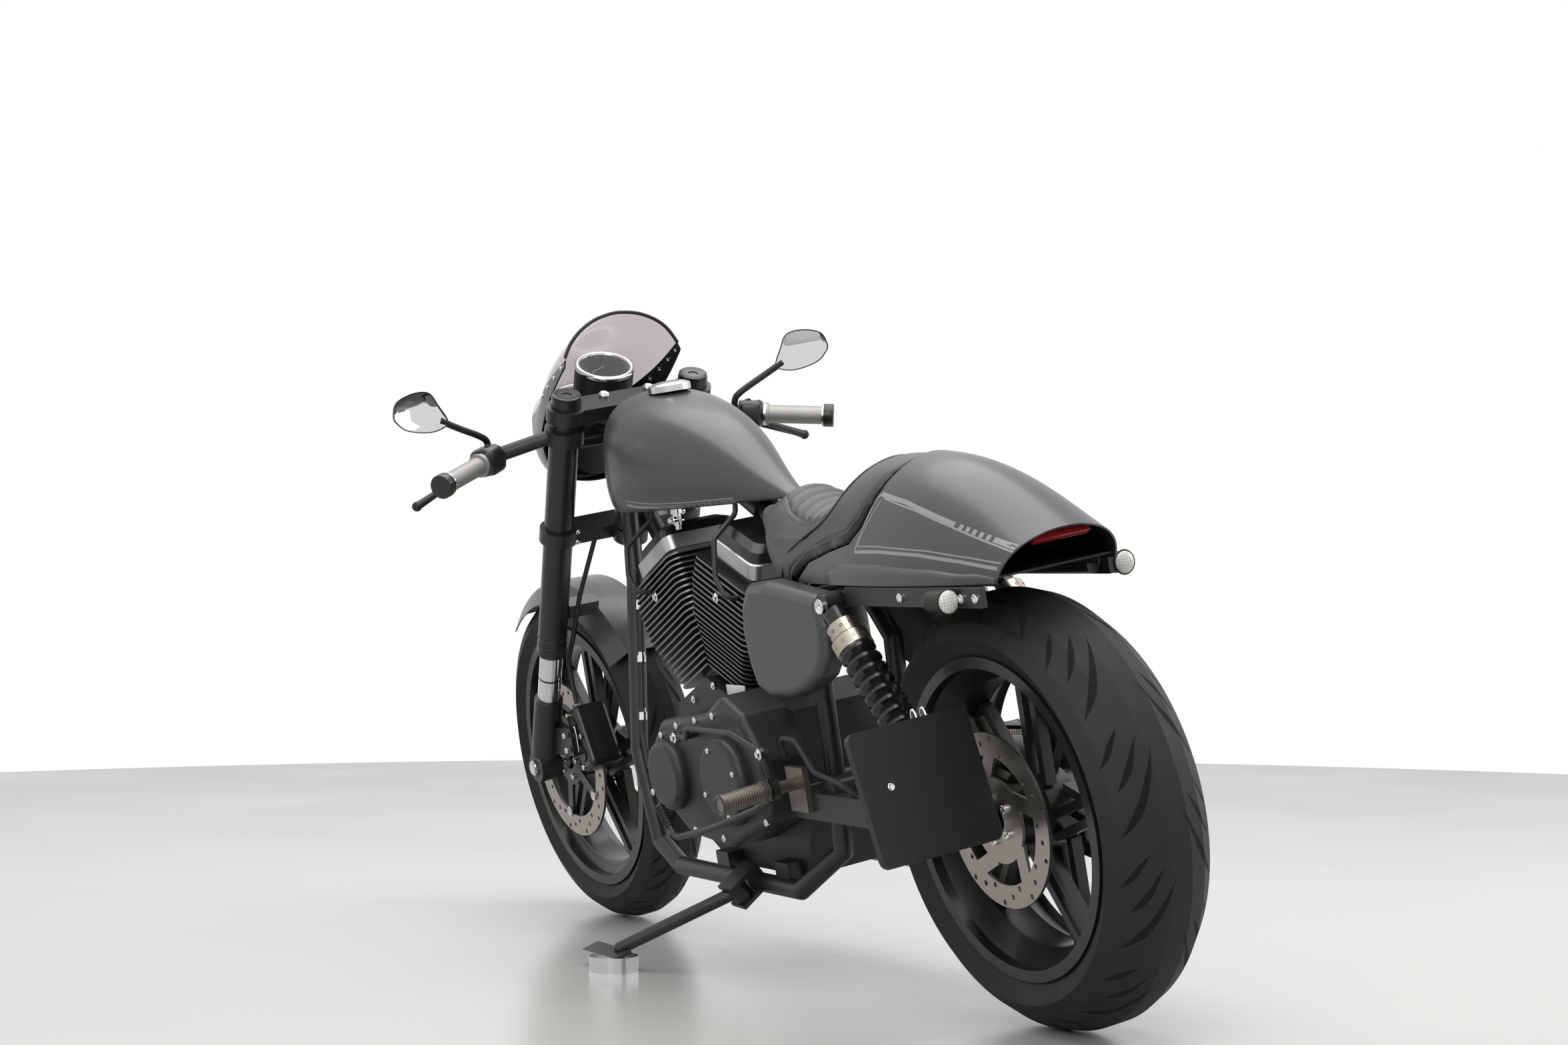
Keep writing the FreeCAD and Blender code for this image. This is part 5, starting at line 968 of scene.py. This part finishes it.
# %% Disc buttons, axle nuts and caliper screws
def round_axle(axle, radius, left, turn):
    return axle + spot(radius * math.cos(turn), left, radius * math.sin(turn))


def caliper_spot(out, across, along, side):
    """A place on a front caliper, in its own turned frame."""
    turn = Matrix.Rotation(math.radians(-158), 3, "Y")
    return FRONT_AXLE + turn @ (Vector((out, 0, along)) * MM) + LEFT * (across * side * MM)


buttons = [(round_axle(FRONT_AXLE, 110, side * 79.6, turn), LEFT * side, 9.4, 2.2)
           for side in (1, -1) for turn in circle(5)]
strew("disc_buttons", rosette_model, buttons, "front_wheel", *POLISHED)
rotor_bolts = [(round_axle(FRONT_AXLE, 34, side * 78.5, turn), LEFT * side, 6, 5)
               for turn in circle(5, 0.5) for side in (1, -1)]
strew("front_rotor_bolts", screw_model, rotor_bolts, "front_wheel", *STEEL)
rear_bolts = [(round_axle(REAR_AXLE, 32, 80.4, turn), LEFT, 6.5, 5) for turn in circle(5)]
strew("rear_rotor_bolts", screw_model, rear_bolts, "rear_wheel", *STEEL)
nuts = [(FRONT_AXLE + spot(0, 150.5 * side, 0), LEFT * side, 16, 5) for side in (1, -1)]
strew("front_axle_nuts", nut_model, nuts, "steering", *STEEL)
nuts = [(REAR_AXLE + spot(0, 149 * side, 0), LEFT * side, 18, 6) for side in (1, -1)]
strew("rear_axle_nuts", nut_model, nuts, "root", *STEEL)
caliper_screws = [(caliper_spot(out, 110, along, side), LEFT * side, 5.5, 4)
                  for side in (1, -1) for out, along in ((130, 52), (130, -52), (160, 0))]
strew("caliper_screws", screw_model, caliper_screws, "steering", *STEEL)
ear_screws = [(FRONT_AXLE + spot(-120, side * 128.6, 50 + up), LEFT * side, 6, 5)
              for side in (1, -1) for up in (14, -14)]
strew("caliper_ear_screws", screw_model, ear_screws, "steering", *STEEL)
ovals = [tube([caliper_spot(140, 114.2, 0, side) + spot(6 * math.cos(t), 0, 27 * math.sin(t))
               for t in circle(10)], 1.6, cyclic=True) for side in (1, -1)]
put(join(ovals), "caliper_oval_rings", "steering", *STEEL, smooth=60)

# %% [markdown]
# The lower yoke closes on the fork legs with pinch bolts, and each leg ends on top in a black cap with
# a socket. Two bright bolts hold the bars' risers. The black outer tube ends below in a ridged collar.

# %% Fork caps, pinch bolts, riser bolts and collars
caps = [(on_fork(1000, LEG_AHEAD, side * LEG_LEFT), FORK_UP, 25.5, 5) for side in (1, -1)]
strew("fork_caps", rosette_model, caps, "steering", *FRAME_BLACK)
pinch = [(on_fork(height, 3.5, side * 108), -FORK_AHEAD, 5, 4) for side in (1, -1) for height in (772, 754)]
strew("yoke_pinch_bolts", screw_model, pinch, "steering", *STEEL)
riser_bolts = [(on_fork(972, 54, side * 45) + FORK_UP * 0.0125, FORK_UP, 10, 5) for side in (1, -1)]
strew("riser_bolts", rosette_model, riser_bolts, "steering", *STEEL)
collars = [torus(on_fork(height, LEG_AHEAD, side * LEG_LEFT), facing(FORK_UP), 27.2, 1.3)
           for side in (1, -1) for height in (531, 548, 562)]
put(join(collars), "fork_collars", "steering", *FRAME_BLACK, smooth=60)

# %% [markdown]
# The grips are silver sleeves between two polished rings, with a black weight at the bar's end. The
# switch housings carry small square buttons, and the levers are flat blades with a round tip.

# %% Grips, end weights, levers and switches
SWITCH_KEYS = ((14, 0.5, 9, 7), (27, 0.15, 8, 8), (27, 1.0, 8, 8), (40, 0.5, 10, 6))
rings, weights, housings, blades, keys = [], [], [], [], []
for side in (1, -1):
    root, tip = spot(1180, side * 292, 925), spot(1120, side * 388, 904)
    inward = (root - tip).normalized()
    rings += [(root - inward * 0.001, inward, 21.6, 4), (tip + inward * 0.006, inward, 20.4, 3)]
    weight = cylinder(tip + inward * 0.006, -inward, 21.6, 19, sides=48)
    weights.append(modify(weight, "BEVEL", width=0.002, segments=2, limit_method="ANGLE"))
    housing = box(root + inward * 0.027, (0.05, 0.05, 0.05), facing(inward))
    housings.append(modify(housing, "BEVEL", width=0.013, segments=5))
    lever_from, lever_to = spot(1224, side * 285, 921), spot(1238, side * 400, 871)
    run = lever_to - lever_from
    deselect()
    bpy.ops.mesh.primitive_cone_add(vertices=24, radius1=0.0045, radius2=0.0078, depth=run.length * 0.8,
                                    location=lever_from.lerp(lever_to, 0.6), rotation=facing(run))
    blades.append(bpy.context.object)
    for along, turn, wide, high in SWITCH_KEYS:
        out = (Vector((-0.8, 0, 0.45)) * (1 - turn) + Vector((-0.1, 0, 1)) * turn).normalized()
        at = root + inward * ((2 + along) * MM) + out * 0.026
        key = box(at, (wide * MM, high * MM, 0.005), facing(out))
        keys.append(modify(key, "BEVEL", width=0.0012, segments=2))
strew("grip_rings", rosette_model, rings, "steering", *POLISHED)
put(join(weights), "grip_end_weights", "steering", *SATIN)
put(join(housings), "switch_housings", "steering", *SATIN, smooth=60)
put(join(blades), "lever_blades", "steering", *SATIN)
put(join(keys), "switch_buttons", "steering", *SATIN)

# %% [markdown]
# The mirrors are upright drops with a thin black rim. The outline of the glass is smoothed from ten
# chosen points. The back shell is the same outline extruded forward in three steps, each smaller, which
# rounds it off. Then the face is inset for the rim, and the glass inside it is sunk.

# %% Mirrors
DROP = [(55, 2), (44, 26), (9, 37), (-24, 33), (-40, 8), (-54, -19), (-47, -31), (-15, -37), (28, -29),
        (50, -12)]
SHELL_STEPS = ((0.007, 0.97), (0.005, 0.86), (0.003, 0.6))


def rounded_outline(points, steps=6):
    """A closed smooth outline through chosen points."""
    outline = []
    for i in range(len(points)):
        a, b, c, d = [Vector(points[(i + k) % len(points)]) for k in (-1, 0, 1, 2)]
        for s in [step / steps for step in range(steps)]:
            outline.append(0.5 * (2 * b + (c - a) * s + (2 * a - 5 * b + 4 * c - d) * s * s
                                  + (3 * b - a - 3 * c + d) * s * s * s))
    return outline


for side, word in SIDES:
    back = Vector((-1, -0.2 * side, 0)).normalized()
    outboard = Vector((-0.2, side, 0)).normalized()
    middle = spot(1180, side * 388, 1033) + back * 0.004
    rim = bmesh.new()
    face = rim.faces.new([rim.verts.new(middle + outboard * (p.x * MM) + UP * (p.y * MM))
                          for p in rounded_outline(DROP)])
    face.normal_update()
    if face.normal.dot(back) < 0:
        face.normal_flip()
    head = piece_from(rim, "mirror")
    take(head)
    bpy.ops.object.mode_set(mode="EDIT")
    bpy.ops.mesh.select_mode(type="FACE")
    bpy.ops.mesh.select_all(action="SELECT")
    bpy.ops.mesh.flip_normals()
    for depth, size in SHELL_STEPS:
        bpy.ops.mesh.extrude_region_move(TRANSFORM_OT_translate={"value": tuple(-back * depth)})
        bpy.ops.transform.resize(value=(size, size, size))
    bpy.ops.mesh.select_all(action="SELECT")
    bpy.ops.mesh.normals_make_consistent(inside=False)
    bpy.ops.object.mode_set(mode="OBJECT")
    stepped(head, [(0.0022, -0.0014)], towards=back)
    head.data.materials.append(black_plastic)
    head.data.materials.append(mirror_glass)
    pane = max((f for f in head.data.polygons if f.normal.dot(back) > 0.9), key=lambda f: f.area)
    pane.material_index = 1
    stalk = as_mesh(tube([spot(x, side * y, z) for x, y, z in (
        (1222, 252, 946), (1221, 253, 960), (1214, 262, 972), (1200, 318, 998), (1187, 350, 1015))], 6.2))
    stalk.data.materials.append(black_plastic)
    put(join([head, stalk]), "mirror_" + word, "steering", "black_frame", None, replaces=["mirrors"],
        smooth=40)

# %% [markdown]
# The round instrument has a chromed bezel, a dark face under glass, and fine marks round an open arc
# with one needle. The face is bare apart from those marks.

# %% Instrument
DIAL_UP = Vector((-0.5, 0, 0.866))
DIAL_RIGHT = Vector((0, -1, 0))
DIAL_AWAY = DIAL_UP.cross(DIAL_RIGHT).normalized()
dial_middle = spot(1223, 0, 1061)
dial = cylinder(dial_middle, DIAL_UP, 49, 1.2, sides=64)
put(dial, "dial_face", "steering", "black_plastic", black_glass, smooth=40)
put(torus(dial_middle, facing(DIAL_UP), 50, 5.5, 72, 12), "dial_bezel", "steering", *STEEL, smooth=60)
marks = []
for i in range(25):
    turn = math.radians(-120 + 10 * i)
    out = DIAL_AWAY * math.cos(turn) + DIAL_RIGHT * math.sin(turn)
    long = 8 if i % 3 == 0 else 4
    marks.append((dial_middle + out * ((43 - long) * MM) + DIAL_UP * 0.0013, out, 0.8, long))
needle = (DIAL_AWAY * math.cos(-2.0) + DIAL_RIGHT * math.sin(-2.0)).normalized()
marks.append((dial_middle + DIAL_UP * 0.0014, needle, 0.9, 34))
mark_model = keep_model(box((0, 0, 0.5), (1, 1, 1)))
strew("dial_marks", mark_model, marks, "steering", "black_plastic", dial_white, smooth=0)

# %% [markdown]
# The headlamp is a domed glass over a bright bowl, in a chromed ring. The dome is the top slice of a
# ball, made flatter, so its curve is even.

# %% Headlamp glass and ring
dome = ball_slice(0.165, 64, 64, 0.144)
dome.data.transform(Matrix.Diagonal((1, 1, 0.45, 1)) @ Matrix.Translation((0, 0, -0.144)))
dome.matrix_world = Matrix.Translation(spot(1381.5, 0, 950)) @ Matrix.Rotation(QUARTER_TURN, 4, "Y")
put(dome, "headlamp_glass", "steering", "bright_steel", clear_lens, smooth=50)
ring = torus(spot(1381, 0, 950), (0, QUARTER_TURN, 0), 84.5, 4.2, 72, 12)
put(ring, "headlamp_ring", "steering", *STEEL, smooth=60)

# %% [markdown]
# A soft black trim edges the screen, and small screws hold it to the fairing. The trim follows the
# screen's own rear edge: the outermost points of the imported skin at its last 3 mm, in order round.

# %% Screen trim and screws
screen_middle = spot(1138, 0, 950)
rear_edge = {}
for vert in NODES["windscreen"].data.vertices:
    at = BACK_UPRIGHT @ vert.co
    if at.x < 1.1395:
        angle = round(math.degrees(math.atan2(at.y, at.z - screen_middle.z)) / 6)
        known = rear_edge.get(angle, screen_middle)
        if (at - screen_middle).length > (known - screen_middle).length:
            rear_edge[angle] = at
edge_row = [rear_edge[angle] for angle in sorted(rear_edge)]
put(tube(edge_row, 3.2), "screen_trim", "steering", *PLASTIC, smooth=60)
fairing_skin = skin_of(NODES["fairing"])
screen_screws = []
for side in (1, -1):
    for x, z in ((1150, 1071), (1187, 1056), (1226, 1041), (1264, 1026)):
        hit, normal = side_hit(fairing_skin, x, z, side)
        if hit:
            screen_screws += [(hit, normal, 4, 1.6), (hit - normal * 0.0035, -normal, 4, 1.6)]
strew("screen_screws", screw_model, screen_screws, "steering", *STEEL)

# %% [markdown]
# The engine's covers are held by bright socket screws round their edges. Each lies where a ray from
# the side meets the cover, so it is seated whether the face there is flat or rounded.

# %% Screws of the covers and the heads
def side_spots(node, places, radius, height, side=1):
    skin = skin_of(NODES[node])
    hits = [side_hit(skin, x, z, side)[0] for x, z in places]
    return [(hit - LEFT * side * 0.0006, LEFT * side, radius, height) for hit in hits if hit]


COVER_SCREWS = [(876, 427), (811, 447), (739, 459), (671, 470), (606, 494), (545, 470), (528, 420),
                (548, 300), (700, 262), (801, 268), (905, 330), (912, 395)]
DERBY_SCREWS = [(648 + 58 * math.cos(t), 362 + 58 * math.sin(t)) for t in (1.2, 2.8, 4.4, 5.9)]
LEFT_CASE = [(821, 497), (905, 470), (760, 505), (940, 345), (930, 270), (560, 215)]
RIGHT_CASE = [(821, 480), (905, 460), (700, 470), (940, 345), (930, 270), (560, 250), (640, 230), (800, 220)]
RIGHT_OVAL = [(640 + 150 * math.cos(t), 340 + 90 * math.sin(t)) for t in circle(9)]
cover_screws = side_spots("primary_cover", COVER_SCREWS, 6.2, 3.5)
cover_screws += side_spots("primary_cover", DERBY_SCREWS, 5, 3)
strew("cover_screws", screw_model, cover_screws, "root", *STEEL)
plugs = [(on_bank(lean, 300, 0, side * 92), LEFT * side, 9, 7) for lean in (1, -1) for side in (1, -1)]
strew("head_bolts", nut_model, plugs, "root", *STEEL)
lid_bolts = [(on_bank(lean, 386, lean * 6 + ahead, side * 60), on_bank(lean, 1) - on_bank(lean, 0), 5, 5)
             for lean in (1, -1) for ahead in (-58, 58) for side in (1, -1)]
strew("rocker_lid_bolts", screw_model, lid_bolts, "root", *STEEL)
case_bolts = side_spots("engine_case", LEFT_CASE, 7, 5) + side_spots("engine_case", RIGHT_CASE, 6, 4, side=-1)
strew("case_bolts", nut_model, case_bolts, "root", *STEEL)
strew("right_case_screws", screw_model, side_spots("engine_case", RIGHT_OVAL, 5, 3, side=-1), "root", *STEEL)

# %% [markdown]
# A small brushed plate on the case is left blank. The fuel tap and its threaded collar are bright, and
# hang from the tank's floor in front of the rear lead.

# %% Blank plate and fuel tap
label = modify(box(spot(745, 84.6, 492), (0.066, 0.0016, 0.018)), "BEVEL", width=0.0007, segments=2)
put(label, "blank_case_plate", "root", "bright_steel", bare_plate)
tap_parts = [(spot(912, 58, 803.5), -UP, 10, 12), (spot(912, 58, 788), -UP, 7, 16),
             (spot(912, 58, 782), Vector((-0.4, 0.9, 0)), 6, 14)]
strew("fuel_tap", tap_model, tap_parts, "root", *STEEL)

# %% [markdown]
# The imported shocks already have their coils. What they lack is the row of small holes round each
# adjusting collar, shown as black discs that are painted shade in the holes, and the bright bolts
# through both eyes.

# %% Shock eyes and collar holes
line = (at_shock(SHOCK_TOP, 0) - at_shock(SHOCK_FOOT, 0)).normalized()
across = line.cross(LEFT).normalized()
eyes, holes = [], []
for side in (1, -1):
    eyes += [(at_shock(end, side * 165.2), LEFT * side, 12, 5) for end in (SHOCK_TOP, SHOCK_FOOT)]
    for ring, radius in ((295, 29.6), (322, 24.9)):
        for turn in circle(10, ring % 2 / 2):
            out = across * math.cos(turn) + LEFT * math.sin(turn)
            at = at_shock(SHOCK_FOOT, side * 151.3) + line * (ring * MM) + out * ((radius - 0.9) * MM)
            holes.append((at, out, 2.6, 1.2))
strew("shock_eye_bolts", rosette_model, eyes, "root", *STEEL)
# The holes are black discs: painted shade inside them.
strew("shock_collar_holes", rosette_model, holes, "root", "black_spring", black_satin)

# %% [markdown]
# The struts beside the rear wheel carry bright button screws, and a small black bullet of an indicator
# with a clear round lens that looks back. In the photograph the right lens stands clear behind its
# strut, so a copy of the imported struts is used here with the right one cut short.

# %% Struts, strut screws and indicator lenses
LAMP_LEFT, LAMP_HEIGHT = 153.3, 664
struts = merged_copy("fender_struts", "fender_struts_cut")
shape = bmesh.new()
shape.from_mesh(struts.data)
right_faces = [f for f in shape.faces if f.calc_center_median().y < 0]
right_edges = list({e for f in right_faces for e in f.edges})
right_verts = list({v for f in right_faces for v in f.verts})
cut = bmesh.ops.bisect_plane(shape, geom=right_faces + right_edges + right_verts, plane_co=spot(-80, 0, 0),
                             plane_no=(-1, 0, 0), clear_outer=True)
bmesh.ops.edgeloop_fill(shape, edges=[e for e in cut["geom_cut"] if isinstance(e, bmesh.types.BMEdge)])
shape.to_mesh(struts.data)
shape.free()
put(struts, "fender_struts_cut", "root", "black_frame", black_powder, replaces=["fender_struts"])
strut_screws = [(spot(x, side * 136, 665.5), LEFT * side, 7, 4)
                for side, x in ((1, 73), (1, -92), (1, -128), (-1, 73), (-1, -10))]
strew("strut_screws", screw_model, strut_screws, "root", *STEEL)
bead_model = keep_model(ball_slice(1, 32, 16, 0))
lenses = [(spot(-80, side * LAMP_LEFT, LAMP_HEIGHT), Vector((-1, 0, 0)), 17, 9) for side in (1, -1)]
strew("indicator_lenses", bead_model, lenses, "root", "smoke_screen", clear_lens, smooth=60)
rims = [torus(spot(-81, side * LAMP_LEFT, LAMP_HEIGHT), (0, QUARTER_TURN, 0), 17.2, 1.6)
        for side in (1, -1)]
put(join(rims), "indicator_rims", "root", *PLASTIC, smooth=60)

# %% [markdown]
# The shift rod ends in two bright ball joints with locknuts, the toe lever in a ribbed rubber, and the
# pegs in a knurled sleeve between two rings. Ribs and knurls are one short shape, repeated.

# %% Foot controls and pegs
joints = [(spot(452, 204, 427), LEFT, 9.6, 9), (spot(746, 204, 438), LEFT, 9.6, 9)]
strew("shift_joints", nut_model, joints, "root", *STEEL)
toe_from, toe_to = spot(801, 214, 265), spot(845, 214, 317)
ribs = [torus(toe_from.lerp(toe_to, 0.35 + 0.07 * i), facing(toe_to - toe_from), 7.2, 1.7, 20, 6)
        for i in range(9)]
put(join(ribs), "toe_rubber", "root", "black_rubber", hose_rubber, smooth=60)
knurls = [torus(spot(467, side * (214 + 4.4 * i), 365 - 0.22 * i), (QUARTER_TURN, 0, 0), 15, 1.1, 24, 6)
          for side in (1, -1) for i in range(15)]
put(join(knurls), "peg_knurling", "root", "gunmetal", gunmetal, smooth=60)
peg_ends = [(spot(467, side * 283, 361), LEFT * side, 16.2, 3.5) for side in (1, -1)]
strew("peg_ends", rosette_model, peg_ends, "root", *SATIN)

# %% [markdown]
# Bright clips hold the hoses to the downtube, and crimped collars end them. The plate's tray stays
# blank, with one rivet and two bright hooks on its upper edge where its cable comes through.

# %% Hose clips and plate fittings
HOSE_RUN = Vector((0.067, -0.196, 1))
clips = [(spot(1119.5, 73, 527), HOSE_RUN, 8, 12), (spot(1113, 92, 425), HOSE_RUN, 7.5, 14),
         (spot(1125, 56, 620), HOSE_RUN, 7.5, 16)]
strew("hose_clips", tap_model, clips, "root", *STEEL)
plate_turn = Matrix.Rotation(math.radians(15), 3, "Y")
plate_out, plate_up = plate_turn @ Vector((-1, 0, 0)), plate_turn @ UP
plate_middle = spot(-30, 210, 408) + plate_out * 0.0072
rivet = [(plate_middle + plate_up * 0.012 + LEFT * 0.055, plate_out, 5.5, 2)]
strew("plate_rivet", rosette_model, rivet, "root", *STEEL)
hooks = []
for left in (-22, -38):
    base = plate_middle + LEFT * (left * MM) + plate_up * 0.094 - plate_out * 0.008
    hooks.append(tube([base + plate_up * up - plate_out * ahead
                       for up, ahead in ((0, 0), (0.016, 0), (0.018, 0.012), (0.002, 0.014))], 2))
put(join(hooks), "plate_hooks", "root", *STEEL, smooth=60)

# %% [markdown]
# The side stand is pulled up by a coil spring. A helix is a smooth line through points that go round as
# they go along.

# %% Stand spring
spring_from, spring_to = spot(800, 118, 178), spot(742, 172, 158)
along = spring_to - spring_from
side_a = along.cross(UP).normalized()
side_b = along.cross(side_a).normalized()
turns, radius, points_a_turn = 13, 0.0062, 8
helix = [spring_from]
for i in range(turns * points_a_turn + 1):
    angle = 2 * math.pi * i / points_a_turn
    helix.append(spring_from + along * (i / (turns * points_a_turn)) + side_a * (radius * math.cos(angle))
                 + side_b * (radius * math.sin(angle)))
helix.append(spring_to)
put(tube(helix, 1.3), "stand_spring", "root", "black_spring", spring_gloss, smooth=60)

# %% [markdown]
# A plain studio: a pale, slightly glossy floor, a white surround, large soft lamps, and a camera at the
# photograph's angle. The camera and mirrors see the surround as white, while it lights the machine
# only softly, so the blacks stay black.

# %% Floor, lamps and camera
floor_coat = coat((0.56, 0.56, 0.54), 0.24, spread=0.06, rough_spread=0.2, clouds=1.3, grain=300)
deselect()
bpy.ops.mesh.primitive_circle_add(vertices=96, radius=5.2, fill_type="NGON")
floor = bpy.context.object
floor.name = "floor"
floor.data.materials.append(finish("studio floor", floor_coat, 0.02))

world = bpy.data.worlds.new("studio")
bpy.context.scene.world = world
world.use_nodes = True
sky = world.node_tree
backdrop = sky.nodes["Background"]
backdrop.inputs["Color"].default_value = (1, 1, 1, 1)
paths = sky.nodes.new("ShaderNodeLightPath")
seen = maths(sky, "MAXIMUM", paths.outputs["Is Camera Ray"], paths.outputs["Is Glossy Ray"])
seen = maths(sky, "MAXIMUM", seen, paths.outputs["Is Transmission Ray"])
level = node_of(sky, "ShaderNodeMapRange", [("Value", seen)], To_Min=0.42, To_Max=1.0)
sky.links.new(level.outputs[0], backdrop.inputs["Strength"])


def aim(holder, place, look):
    holder.location = place
    holder.rotation_euler = look.to_track_quat("-Z", "Y").to_euler()


def soft_lamp(name, place, size, power):
    """A rectangular lamp that looks at the machine's middle."""
    lamp = bpy.data.lights.new(name, "AREA")
    lamp.shape = "RECTANGLE"
    lamp.size, lamp.size_y = size
    lamp.energy = power
    aim(new_piece(lamp, name), place, Vector((0, 0, 0.5)) - Vector(place))


soft_lamp("lamp overhead", (0.0, 0.0, 3.6), (4.5, 3.0), 120)
soft_lamp("lamp rear left", (-2.8, 2.6, 2.4), (2.2, 2.2), 45)
soft_lamp("lamp right", (-1.0, -3.4, 2.2), (2.5, 2.0), 40)

FOCAL_PIXELS, PHOTO_WIDE = 4087.16, 2352
camera_data = bpy.data.cameras.new("camera")
camera_data.sensor_width = 36.0
camera_data.lens = FOCAL_PIXELS / PHOTO_WIDE * camera_data.sensor_width
camera = new_piece(camera_data, "camera")
yaw, pitch = math.radians(-28.72), math.radians(1.06)
aim(camera, (-4.0606, 2.1126, 0.6666),
    Vector((math.cos(pitch) * math.cos(yaw), math.cos(pitch) * math.sin(yaw), math.sin(pitch))))
bpy.context.scene.camera = camera
bpy.context.scene.view_settings.view_transform = "Standard"
